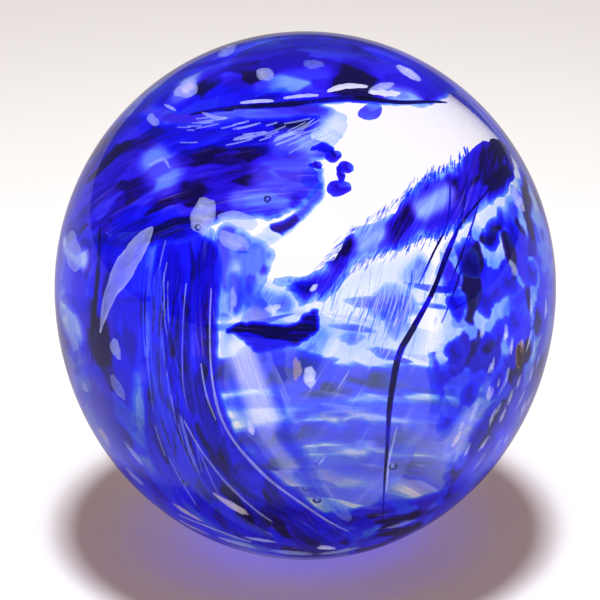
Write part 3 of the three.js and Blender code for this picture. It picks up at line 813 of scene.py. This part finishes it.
# Each row: piece, slot, material, half width, strength, milk, path.
FOLDS = [
    ("crown_fold", "navy_glass", STREAKY, 1.0, 0.98, 0.0,
     [(-62, 59), (-46, 65), (-22, 69), (4, 71), (36, 70), (60, 64), (84, 56)]),
    ("curtain_fold_left", "bright_blue_glass", STREAKY, 2.8, 0.4, 0.12,
     [(-40, 24), (-37, 4), (-35, -18), (-27, -36), (-10, -50)]),
    ("curtain_fold_middle", "navy_glass", STREAKY, 1.8, 0.75, 0.0,
     [(-30, 27), (-29, 8), (-27, -12), (-18, -29), (-2, -42), (10, -54)]),
    ("sweep_fold", "pale_blue_glass", OPAL, 0.32, 0.3, 0.6,
     [(-24, 22), (-22, 0), (-19, -12), (-11, -24), (0, -35), (14, -47)]),
    ("left_edge_fold", "navy_glass", STREAKY, 1.0, 0.95, 0.0,
     [(-66, 26), (-61, 18), (-59, 6), (-60, -8)]),
    ("pale_streak", "pale_blue_glass", OPAL, [2.4, 3.6, 2.2, 0.7], 0.3, 0.6,
     [(-46, 32), (-50, 23), (-54, 13), (-56, 3)]),
]

# Each band at the back is a row of melted blotches: half width, strength, milk, path.
BACK_BANDS = [
    (2.0, 0.8, 0.0, [(154, -31.5), (168, -33.5), (180, -34), (194, -32.5)]),
    (1.2, 0.5, 0.0, [(152, -35), (164, -36.8), (178, -37.6), (192, -36)]),
    (1.6, 0.85, 0.0, [(152, -39.4), (168, -40.6), (184, -41), (198, -39.4)]),
    (1.3, 0.85, 0.0, [(152, -44), (168, -44.8), (184, -45), (198, -44)]),
]

TRAIL_PATH = [(88, 37), (64, 36), (49, 33), (40, 28), (33, 20), (26, 12), (22, 6), (20, -5), (20, -17),
              (21, -30), (24, -43)]
TRAIL_WIDTHS = [0.3, 0.4, 0.4, 0.5, 0.6, 0.8, 0.9, 0.8, 0.6, 0.5, 0.4]  # half widths

# Thin light and dark lines: half width, strength, milk, depth, path.
LINES = {
    OPAL: [
        (0.22, 0.2, 0.5, FOLD_DEPTH, [(-31, 22), (-30, 10), (-29.5, -2), (-28.5, -9)]),
        (0.18, 0.2, 0.5, FOLD_DEPTH, [(-25, 4), (-23.5, -4), (-21.5, -10)]),
        (0.24, 0.2, 0.5, FOLD_DEPTH, [(-30, -12), (-26, -20), (-20, -30), (-10, -42)]),
        (0.9, 0.05, 0.95, FOLD_DEPTH, [(18, 74), (36, 74.5), (52, 72)]),
        (1.0, 0.05, 0.95, FOLD_DEPTH, [(48, 70.5), (58, 68), (66, 66)]),
        (0.5, 0.1, 0.75, FOLD_DEPTH, [(-42, 67.5), (-32, 69.5), (-22, 70.5)]),
        (0.5, 0.1, 0.7, FOLD_DEPTH, [(-16, 71.8), (-2, 73), (10, 73)]),
        (0.4, 0.1, 0.6, FOLD_DEPTH, [(-82, 56), (-72, 57.5)]),
        (0.5, 0.15, 0.5, FOLD_DEPTH, [(-58, 61), (-48, 61.5), (-42, 62.5)]),
        (0.5, 0.15, 0.45, FOLD_DEPTH, [(-32, 57.5), (-24, 60)]),
        (0.5, 0.15, 0.45, FOLD_DEPTH, [(-14, 59), (-6, 62)]),
        (0.4, 0.15, 0.45, FOLD_DEPTH, [(-60, 44), (-56, 47), (-51, 46)]),
        (0.3, 0.1, 0.6, VEIL_DEPTH, [(31, 18), (38, 26), (46, 33)]),
        (0.3, 0.1, 0.6, FOLD_DEPTH, [(22, -12), (21, -22), (22, -32)]),
        (0.3, 0.1, 0.6, FOLD_DEPTH, [(-46, -48), (-34, -50), (-20, -54)]),
        (0.7, 0.1, 0.7, BAND_DEPTH, [(156, -36.8), (168, -38), (178, -37)]),
    ],
    COBALT: [
        (0.5, 0.9, 0.0, FOLD_DEPTH, [(-58, 61.5), (-42, 65)]),
        (0.3, 0.9, 0.0, VEIL_DEPTH, [(30, 22), (36, 28), (44, 34), (52, 42)]),
        (0.22, 0.9, 0.0, FOLD_DEPTH, [(36, 18), (44, 26), (54, 33), (68, 40)]),
        (0.22, 0.8, 0.0, FOLD_DEPTH, [(34, 12), (42, 22), (50, 30)]),
        (0.8, 0.85, 0.0, FOLD_DEPTH, [(2, 57), (8, 58), (12, 55)]),
        (0.35, 0.9, 0.0, VEIL_DEPTH, [(33, 18), (40, 26), (50, 34), (60, 41)]),
        (0.5, 0.5, 0.0, BAND_DEPTH, [(164, -47.6), (176, -48.2), (-172, -47.6)]),
    ],
    # Painted glints: warm peach fringes of light along the back bands, drawn as amber lines.
    AMBER_AND_GLINT_GLASS: [
        (1.1, 0.35, 0.5, BAND_DEPTH, [(160, -45.8), (174, -46.6), (190, -46)]),
        (1.2, 0.25, 0.55, BAND_DEPTH, [(164, -38), (172, -38.6), (178, -38.4)]),
        (0.9, 0.3, 0.55, BAND_DEPTH, [(168, -42.6), (176, -42.8)]),
    ],
}

FOLD_FADE = 1.0  # degrees
# Each row: piece, slot, material, strength, milk, tear, outline.
SHAPED_FOLDS = [
    ("wave_lip", "bright_blue_glass", FRITTED, 0.56, 0.05, (0.3, 4),
     [(5.5, 49), (6, 45), (1, 41), (-6, 35.5), (-14, 31.5), (-19, 31), (-15, 35), (-11, 38), (-4, 41),
      (1, 46)]),
    ("vee_fold", "navy_glass", STREAKY, 0.98, 0.0, (0.6, 3),
     [(-20, 13), (-12, 16), (-5, 15), (3, 20), (2, 13), (-4, 10), (-11, 9), (-16, 11)]),
    ("base_wedge", "navy_glass", CLOUDY, 0.95, 0.0, (0.4, 4),
     [(26, -46), (42, -49), (48, -56), (34, -66), (20, -64)]),
]

# Each row: direction, size in degrees, turn, milk.
PALE_CHIPS = [
    ((-84, 62), (9, 6), 10, 0.7), ((-50, 78), (5.6, 4), -20, 0.6), ((20, 85), (4.4, 4), 0, 0.3),
    ((-122, 69), (9, 4.4), 25, 0.5), ((94, 66), (7, 5), 60, 0.9), ((60, 70), (8.6, 2.6), -10, 0.7),
    ((-78, 52), (7.4, 2), 5, 0.6), ((-31, 38), (7, 9.4), 0, 0.7), ((-20, 38.5), (9.6, 4), -5, 0.6),
    ((-20, 33.5), (8.4, 4), -15, 0.6), ((-76, 15.5), (13, 7), -10, 0.65), ((-70, -2), (6.6, 10.6), 10, 0.5),
    ((-50, -9), (6, 3.4), -50, 0.5), ((76, 29), (4.4, 6.6), 0, 0.8),
]
BLUE_FRIT = [
    ((46, 23), (7, 6.4), 0), ((56, 26), (6.6, 5.6), 30), ((66, 24), (6.4, 7.4), -20),
    ((39, 15), (5.4, 6.6), 15), ((48, 13), (7.2, 7), 0), ((58, 15), (7, 8), 40), ((69, 13), (6.6, 8.2), 10),
    ((37, 4), (5.6, 7.6), 5), ((47, 3), (6.6, 7.4), -30), ((58, 5), (7.2, 6.6), 0), ((70, 2), (6.6, 8), 25),
    ((42, -8), (6, 7.6), -25), ((52, -8), (5.6, 8.2), -35),
]
WAVE_DROPS = [((11, 55), (4, 3), 20), ((15, 52), (3.6, 3), -30), ((11, 47), (5.6, 4), 10)]
# Small grains with no body of their own in the CAD: direction, size, turn, strength, milk.
LOOSE_GRAINS = {
    OPAL: [
        ((-50, 1), (3.4, 5.0), 15, 0.1, 0.6), ((-66, -15), (3.2, 2.6), 0, 0.1, 0.6),
        ((-50, -28), (7.0, 2.0), -50, 0.1, 0.6), ((-16, -52), (7.0, 1.6), -10, 0.1, 0.7),
        ((8, -56), (5.0, 2.4), -30, 0.1, 0.9), ((49, -10), (2.6, 4.0), 0, 0.1, 0.8),
        ((44, -14), (1.6, 5.0), -15, 0.1, 0.7), ((54, 3), (2.4, 1.6), 30, 0.1, 0.7),
        ((46, 7), (2.2, 4.0), -20, 0.1, 0.6), ((61, 17), (2.6, 5.0), 20, 0.1, 0.6),
        ((33, -48), (8.0, 2.4), 0, 0.2, 0.6), ((-13, -11), (1.6, 4.0), 10, 0.0, 0.9),
        ((1, 3), (3.0, 5.0), 10, 0.0, 0.8), ((-8, 19), (3.6, 2.4), 20, 0.0, 0.8),
        ((-18, 20), (1.8, 6.0), 0, 0.1, 0.5), ((2, 24), (2.4, 1.2), 45, 0.0, 0.9),
        ((-57, -38), (6.0, 3.4), -30, 0.12, 0.55), ((-62, -50), (8.0, 3.6), -35, 0.15, 0.45),
        ((-28, -57), (8.0, 3.0), -20, 0.12, 0.6), ((-6, -60), (9.0, 3.4), -15, 0.14, 0.5),
        ((15, -60), (9.0, 3.6), 20, 0.14, 0.5), ((-74, -14), (6.0, 9.0), 10, 0.2, 0.4),
        ((-82, 10), (7.0, 8.0), 0, 0.2, 0.4),
    ],
    COBALT: [
        ((4, 53), (3.0, 2.0), 0, 0.8, 0.0), ((12.5, 50.5), (2.0, 5.0), 0, 0.8, 0.0),
        ((8, 57), (5.0, 1.8), -10, 0.8, 0.0),
    ],
    # Painted glints: warm peach fringes of light, laid on as small amber grains.
    AMBER_AND_GLINT_GLASS: [
        ((-21, -37), (9.0, 2.6), -40, 0.2, 0.7), ((-46, -54), (8.0, 2.0), -30, 0.2, 0.6),
        ((-84, 62.5), (5.0, 3.4), 10, 0.35, 0.5), ((40, -20), (1.6, 5.0), -15, 0.2, 0.7),
        ((-2, 5), (2.4, 5.0), 0, 0.3, 0.3), ((-40, -45), (7.0, 2.4), -40, 0.2, 0.6),
        ((-64, -28), (5.0, 4.0), -20, 0.2, 0.5),
    ],
}

# First seeds of the pieces' noise; a sheet uses up to three in a row.
SEEDS_PER_SHEET = 3
WASH_SEED = 40
SHAPED_FOLD_SEED = 60
FOLD_SEED = 80
LINE_SEED = 120
FRIT_SEED = 20
LOOSE_SEED = 50
BLOTCHES_PER_BAND = 8


def make_sheets():
    """The veils and the washes, at three depths in turn, and the folds with an outline."""
    for order, row in enumerate(VEILS):
        name, slot, material, turn, strength, milk, tear, fade, outline, strokes = row
        place(sheet(f"{name}_glass", outline, material, VEIL_DEPTH + order % SHEET_LEVELS * SHEET_GAP,
                    strength, milk, tear, fade, SEEDS_PER_SHEET * order, turn, strokes), slot, name)
    for order, row in enumerate(WASHES):
        name, material, turn, strength, milk, tear, fade, outline, strokes = row
        place(sheet(name, outline, material, WASH_DEPTH + order % SHEET_LEVELS * SHEET_GAP,
                    strength, milk, tear, fade, WASH_SEED + SEEDS_PER_SHEET * order, turn, strokes,
                    WASH_STEP),
              SLOTS[material])
    for order, row in enumerate(SHAPED_FOLDS):
        name, slot, material, strength, milk, tear, outline = row
        place(sheet(f"{name}_glass", outline, material, FOLD_DEPTH, strength, milk, tear,
                    FOLD_FADE, SHAPED_FOLD_SEED + SEEDS_PER_SHEET * order, step=FINE_STEP), slot, name)


def blotched(name, path, half_width, strength, milk, seed):
    """A row of soft blotches along a path, run together."""
    rng = np.random.default_rng(seed)
    parts = []
    for i in range(BLOTCHES_PER_BAND):
        t = (i + rng.uniform(0.2, 0.8)) / BLOTCHES_PER_BAND * (len(path) - 1)
        at = on_path(path, t) + (0, rng.normal(0, 0.3) * half_width)
        size = (rng.uniform(6, 13), half_width * rng.uniform(1.4, 2.8))
        parts.append(grain(f"{name}_{i}", at, size, rng.normal(0, 8), COBALT,
                           depth=BAND_DEPTH + (i % 4 - 1.5) * 0.12 * MM, edge=0.05, uneven=0.3,
                           strength=strength * rng.uniform(0.6, 1.3), milk=milk, seed=i))
    return joined(name, parts)


def make_strips():
    """The folds, the bands at the back, the trail and the thin lines."""
    for seed, (name, slot, material, width, strength, milk, path) in enumerate(FOLDS):
        piece = strip(f"{name}_glass", path, width, material, strength=strength, milk=milk,
                      wander=0.2, seed=FOLD_SEED + seed)
        place(piece, slot, name)
    for number, (width, strength, milk, path) in enumerate(BACK_BANDS, start=1):
        place(blotched(f"back_band_{number}_glass", path, width, strength, milk, number),
              "bright_blue_glass", f"back_band_{number}")
    trail = strip("trail_glass", TRAIL_PATH, TRAIL_WIDTHS, COBALT, strength=1.0, edge=0.8)
    place(trail, "navy_glass", "trail")
    for material, lines in LINES.items():
        parts = [
            strip(f"line_{i}", path, width, material, depth=depth, strength=strength, milk=milk,
                  wander=0.25, seed=LINE_SEED + i)
            for i, (width, strength, milk, depth, path) in enumerate(lines)
        ]
        place(joined(f"{SLOTS[material]}_lines", parts), SLOTS[material])


def make_grains():
    """The chips, the frit, the drops and the small grains that share a piece by material."""
    for i, (at, size, turn, milk) in enumerate(PALE_CHIPS, start=1):
        piece = grain(f"pale_chip_{i:02d}_glass", at, size, turn, OPAL, strength=0.2, milk=milk,
                      edge=0.6, uneven=0.2, seed=i)
        place(piece, "opal_glass", f"pale_chip_{i:02d}")
    for i, (at, size, turn) in enumerate(BLUE_FRIT, start=1):
        piece = grain(f"blue_frit_{i:02d}_glass", at, size, turn, COBALT, strength=0.8, edge=0.3,
                      uneven=0.25, seed=FRIT_SEED + i)
        place(piece, "cobalt_glass", f"blue_frit_{i:02d}")
    for i, (at, size, turn) in enumerate(WAVE_DROPS, start=1):
        piece = grain(f"wave_drop_{i}_glass", at, size, turn, COBALT, strength=0.75, edge=0.6, seed=i)
        place(piece, "cobalt_glass", f"wave_drop_{i}")
    chip = grain("crown_hanging_chip_glass", (43, 67), (7.6, 4.4), 10, COBALT, depth=BAND_DEPTH,
                 strength=0.55, milk=0.1, edge=0.8)
    place(chip, "cobalt_glass", "crown_hanging_chip")
    fleck = grain("amber_fleck_glass", (60, -4), (4, 7), 0, AMBER_AND_GLINT_GLASS, strength=1.0, edge=0.5)
    place(fleck, "amber_glass", "amber_fleck")
    for material, rows in LOOSE_GRAINS.items():
        parts = [
            grain(f"loose_{i}", at, size, turn, material, strength=strength, milk=milk, edge=0.5,
                  uneven=0.3, seed=LOOSE_SEED + i)
            for i, (at, size, turn, strength, milk) in enumerate(rows)
        ]
        place(joined(f"{SLOTS[material]}_small_grains", parts), SLOTS[material])


# Scattered grains: piece, material, region (west, east, low, high), count, widths, heights,
# strengths, milks to pick from, seed, depth, turns.
ANY_TURN = (0, 180)
SCATTERED = [
    ("right_frit", COBALT, (40, 92, -30, 30), 60, (2.5, 5.5), (2.5, 5.5), (0.4, 0.75), (0.0, 0.0, 0.5), 1,
     BAND_DEPTH, ANY_TURN),
    ("left_frit", COBALT, (-98, -48, -50, 14), 30, (2.5, 6), (2.5, 6), (0.3, 0.6), (0.0, 0.0, 0.3), 2,
     BAND_DEPTH, ANY_TURN),
    ("back_frit", COBALT, (110, 250, -46, 36), 60, (2.5, 7), (2.5, 7), (0.3, 0.8), (0.0, 0.0, 0.5), 3,
     BAND_DEPTH, ANY_TURN),
    ("back_streaks", COBALT, (148, 208, -50, -22), 80, (2.5, 8), (0.6, 1.8), (0.25, 0.8), (0.0,), 6,
     BAND_DEPTH, (-12, 12)),
    ("back_glints", OPAL, (150, 204, -50, -26), 26, (2.5, 7), (0.4, 1.1), (0.05, 0.1), (0.5, 0.8), 7,
     BAND_DEPTH, (-10, 10)),
    # Painted glints: warm peach fringes of light among the back bands, scattered as amber grains.
    ("back_peach_glints", AMBER_AND_GLINT_GLASS, (152, 192, -49, -34), 12, (3, 8), (0.4, 0.9), (0.3, 0.45), (0.3, 0.5), 8,
     BAND_DEPTH, (-8, 8)),
    ("right_slivers", OPAL, (40, 76, -34, 6), 34, (0.7, 1.5), (2.5, 6), (0.0, 0.1), (0.5, 0.8), 9,
     FOLD_DEPTH, (-32, -8)),
]

# Fine drawn-out hairs: piece, material, count, lengths, heading above level, spread about the
# path, strengths, milk, half widths, seed, path.
HAIRS = [
    ("upper_hairs", COBALT, 200, (1.0, 3.0), 40, 0.7, (0.35, 0.8), 0.0, (0.05, 0.12), 4,
     [(4, 29), (14, 37), (34, 43), (46, 45.5), (70, 45)]),
    ("lower_hairs", COBALT, 150, (1.0, 3.2), 50, 0.7, (0.35, 0.8), 0.0, (0.05, 0.12), 5,
     [(4, 22), (14, 29), (26, 31.5), (40, 32.5), (50, 32)]),
    ("pale_brush", OPAL, 70, (3, 8), 68, 3.0, (0.0, 0.2), 0.5, (0.08, 0.25), 10,
     [(4, 22), (14, 18), (26, 24), (26, 12), (10, 10)]),
    ("blue_brush", COBALT, 46, (3, 7), 66, 3.0, (0.15, 0.4), 0.0, (0.08, 0.25), 11,
     [(4, 20), (16, 16), (28, 22), (24, 10)]),
    ("wave_brush", OPAL, 46, (2, 7), 32, 2.2, (0.1, 0.2), 0.4, (0.08, 0.22), 12,
     [(-60, 58), (-36, 60), (-10, 62), (8, 62)]),
    ("curtain_brush", OPAL, 30, (8, 20), -84, 2.5, (0.1, 0.3), 0.3, (0.08, 0.2), 13,
     [(-40, 20), (-36, -6), (-30, -30)]),
    ("curtain_lines", COBALT, 26, (10, 26), -82, 3.5, (0.7, 0.95), 0.0, (0.15, 0.45), 14,
     [(-42, 18), (-34, 0), (-30, -24)]),
]
HAIR_SPREAD = 5  # degrees about their heading


def make_frit(name, material, region, count, widths, heights, strengths, milks, seed, depth, turns):
    """Small grains scattered over a region of the ball."""
    rng = np.random.default_rng(seed)
    west, east, low, high = region
    parts = []
    for i in range(count):
        at = (rng.uniform(west, east), rng.uniform(low, high))
        size = (rng.uniform(*widths), rng.uniform(*heights))
        parts.append(grain(f"{name}_{i}", at, size, rng.uniform(*turns), material,
                           depth=depth + rng.uniform(-0.3, 0.3) * MM, edge=0.2, uneven=0.3,
                           strength=rng.uniform(*strengths), milk=rng.choice(milks), seed=i,
                           rings=4, spokes=14))
    place(joined(name, parts), SLOTS[material])


def on_path(path, t):
    """Where a path of (azimuth, elevation) is after t of its spans."""
    k = int(t)
    start, end = np.asarray(path[k:k + 2], dtype=float)
    return start + (t - k) * (end - start)


def make_hairs(name, material, count, lengths, heading, spread, strengths, milk, widths, seed, path):
    """Fine drawn-out hairs of colour scattered about a path."""
    rng = np.random.default_rng(seed)
    parts = []
    for i in range(count):
        middle = on_path(path, rng.uniform(0, len(path) - 1))
        azimuth, elevation = middle + rng.normal(0, spread, 2)
        angle = math.radians(heading + rng.normal(0, HAIR_SPREAD))
        reach_out = rng.uniform(*lengths) / 2
        east = reach_out * math.cos(angle) / math.cos(math.radians(elevation))
        north = reach_out * math.sin(angle)
        ends = [(azimuth + side * east, elevation + side * north) for side in (-1, 0, 1)]
        parts.append(strip(f"{name}_{i}", ends, rng.uniform(*widths), material,
                           depth=VEIL_DEPTH + rng.uniform(-0.4, 0.2) * MM, edge=0.7,
                           strength=rng.uniform(*strengths), milk=milk, across_steps=2, steps=4))
    place(joined(name, parts), SLOTS[material])


COLLAR_SPOKES = 48
COLLAR_COLOUR = 0.7
COLLAR_HOLLOW = 0.9  # height of its middle, as a share of the whole height
COLLAR_WAVE = 0.1  # and how much the top swells between the middle and the rim
COLLAR_SIDE = [(1, 0.75), (0.96, 0.4)]  # shares of the radius and of the height
COLLAR_FOOT = 0.9  # share of the radius


def make_collar():
    """The colour drawn together in the neck over the middle of the base."""
    low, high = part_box("base_collar")
    radius = (high[0] - low[0]) / 2
    rim = high[2]
    profile = [(0.0, rim * COLLAR_HOLLOW)]
    profile += [(radius * share, rim * (COLLAR_HOLLOW + COLLAR_WAVE * math.sin(share * math.pi)))
                for share in (0.25, 0.5, 0.75)]
    profile += [(radius * out, rim * up) for out, up in COLLAR_SIDE]
    profile += [(radius * COLLAR_FOOT, BASE_COVER), (0.0, BASE_COVER)]
    vertices, faces = [], []
    turned_mesh(vertices, faces, profile, COLLAR_SPOKES)
    mesh = bpy.data.meshes.new("base_collar_glass")
    mesh.from_pydata([tuple(map(float, v)) for v in vertices], [], faces)
    mesh.uv_layers.new(name="flow")
    set_attribute(mesh, "colour_depth", np.full(len(vertices), COLLAR_COLOUR))
    place(linked("base_collar_glass", mesh, CLOUDY), "cobalt_glass", "base_collar")


# ---- The stage ----

# Lengths in metres, angles in degrees.
FLOOR_SIZE = 6.0
# Painted shade: the floor's colour darkens away from the ball in place of the lamps' falloff.
FLOOR_PAINTED_FALLOFF = [(0.08, (0.9, 0.865, 0.855, 1.0)), (0.3, (0.66, 0.615, 0.6, 1.0))]  # how far out, colour
MIRRORED_TONE = (0.4, 0.37, 0.37, 1.0)  # the floor as the polished ball mirrors it, well subdued
KEY_PLACE = (0.0, -0.02, 0.5)
KEY_SIZE = 0.065
KEY_POWER = 0.75
KEY_COLOUR = (1.0, 0.985, 0.97)
SUN_STRENGTH = 2.6
SUN_ANGLE = 9
GLOW_HEADINGS = (15, 195)  # soft light from the front and the back on the colour alone
GLOW_ELEVATION = 30
GLOW_STRENGTH = 4.0
GLOW_ANGLE = 60
ROOM_COLOUR = (0.93, 0.92, 0.93, 1.0)
BACKDROP_LEVEL = 0.9  # the room's brightness as seen straight
FILL_LEVEL = 0.15  # as it lights matt surfaces
REFLECTED_LEVEL = 0.12  # as the glass mirrors it
TRANSMITTED_LEVEL = 0.45  # as seen through the glass
CAMERA_DISTANCE = 0.56
CAMERA_ELEVATION = 24.0
LENS = 221.0  # mm
SENSOR = 36.0  # mm
NEAREST_SEEN = 0.05
BOUNCES = {"transparent_max_bounces": 64, "transmission_bounces": 12, "max_bounces": 16,
           "diffuse_bounces": 4}
AIM_OFFSET = (-0.8 * MM, 0.0, -1.9 * MM)  # the ball sits a little right of the middle and above it


def make_floor():
    """Plain pale paper with painted shade: its colour turns a little greyer away from the ball, standing in
    for the lamps' falloff.
    """
    mesh = bpy.data.meshes.new("floor")
    half = FLOOR_SIZE / 2
    corners = [(-half, -half, 0), (half, -half, 0), (half, half, 0), (-half, half, 0)]
    mesh.from_pydata(corners, [], [(0, 1, 2, 3)])
    floor = bpy.data.objects.new("floor", mesh)
    bpy.context.scene.collection.objects.link(floor)
    n = Nodes("floor_paper")
    spot = n.add("ShaderNodeTexCoord").outputs["Object"]
    away = n.add("ShaderNodeVectorMath", {0: spot}, operation="LENGTH").outputs["Value"]
    rays = n.add("ShaderNodeLightPath").outputs
    mirrored = n.math("SUBTRACT", rays["Is Glossy Ray"], rays["Is Transmission Ray"], clamp=True)
    # Painted shade: the floor's own colour darkens with distance from the ball.
    tone = n.mixed(mirrored, n.ramp(away, FLOOR_PAINTED_FALLOFF), MIRRORED_TONE)
    mesh.materials.append(n.finish(n.add("ShaderNodeBsdfDiffuse", {"Color": tone}).outputs[0]))


def add_lamp(name, kind, power):
    """A lamp that isn't itself seen in the glass or through it."""
    lamp = bpy.data.objects.new(name, bpy.data.lights.new(name, kind))
    lamp.data.energy = power
    lamp.visible_glossy = False
    lamp.visible_transmission = False
    bpy.context.scene.collection.objects.link(lamp)
    return lamp


def make_lights():
    """A small softbox overhead, a broad soft light from above, the glow and the pale room."""
    key = add_lamp("overhead_softbox", "AREA", KEY_POWER)
    key.data.shape = "DISK"
    key.data.size = KEY_SIZE
    key.data.color = KEY_COLOUR
    key.location = KEY_PLACE
    sun = add_lamp("ceiling_fill", "SUN", SUN_STRENGTH)
    sun.data.angle = math.radians(SUN_ANGLE)
    for heading in GLOW_HEADINGS:
        add_glow(heading)
    world = bpy.data.worlds.new("pale_room")
    world.use_nodes = True
    tree = world.node_tree
    background = tree.nodes["Background"]
    background.inputs["Color"].default_value = ROOM_COLOUR
    path = tree.nodes.new("ShaderNodeLightPath")
    strength = None
    for ray, level in (("Is Diffuse Ray", FILL_LEVEL), ("Is Glossy Ray", REFLECTED_LEVEL),
                       ("Is Transmission Ray", TRANSMITTED_LEVEL)):
        fill = tree.nodes.new("ShaderNodeMix")
        fill.inputs["A"].default_value = BACKDROP_LEVEL
        fill.inputs["B"].default_value = level
        if strength:
            tree.links.new(strength, fill.inputs["A"])
        tree.links.new(path.outputs[ray], fill.inputs["Factor"])
        strength = fill.outputs["Result"]
    tree.links.new(strength, background.inputs["Strength"])
    bpy.context.scene.world = world


def add_glow(heading):
    """Broad soft light that reaches only the colour, as if the clear glass were not there."""
    glow = add_lamp(f"glow_{heading}", "SUN", GLOW_STRENGTH)
    glow.data.angle = math.radians(GLOW_ANGLE)
    towards = -directions([(heading, GLOW_ELEVATION)])[0]
    glow.rotation_euler = Vector(towards).to_track_quat("-Z", "Y").to_euler()
    glow.light_linking.receiver_collection = COLOUR
    glow.light_linking.blocker_collection = NOTHING


def make_camera():
    """Level with the front, looking a little down at the ball."""
    data = bpy.data.cameras.new("camera")
    data.lens = LENS
    data.sensor_width = SENSOR
    data.clip_start = NEAREST_SEEN
    camera = bpy.data.objects.new("camera", data)
    bpy.context.scene.collection.objects.link(camera)
    angle = math.radians(CAMERA_ELEVATION)
    target = Vector(CENTRE) + Vector(AIM_OFFSET)
    camera.location = target + CAMERA_DISTANCE * Vector((0, -math.cos(angle), math.sin(angle)))
    camera.rotation_euler = (target - camera.location).to_track_quat("-Z", "Y").to_euler()
    bpy.context.scene.camera = camera


def set_up_render():
    """Enough bounces for light to cross every layer of colour, and true colours."""
    scene = bpy.context.scene
    scene.view_settings.view_transform = "Standard"
    for key, count in BOUNCES.items():
        setattr(scene.cycles, key, count)


make_camera()
ball = make_ball(clear_glass())
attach(ball, "root")
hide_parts("clear_casing", "clear_core")
make_collar()
make_sheets()
make_strips()
make_grains()
for row in SCATTERED:
    make_frit(*row)
for row in HAIRS:
    make_hairs(*row)
make_floor()
make_lights()
set_up_render()
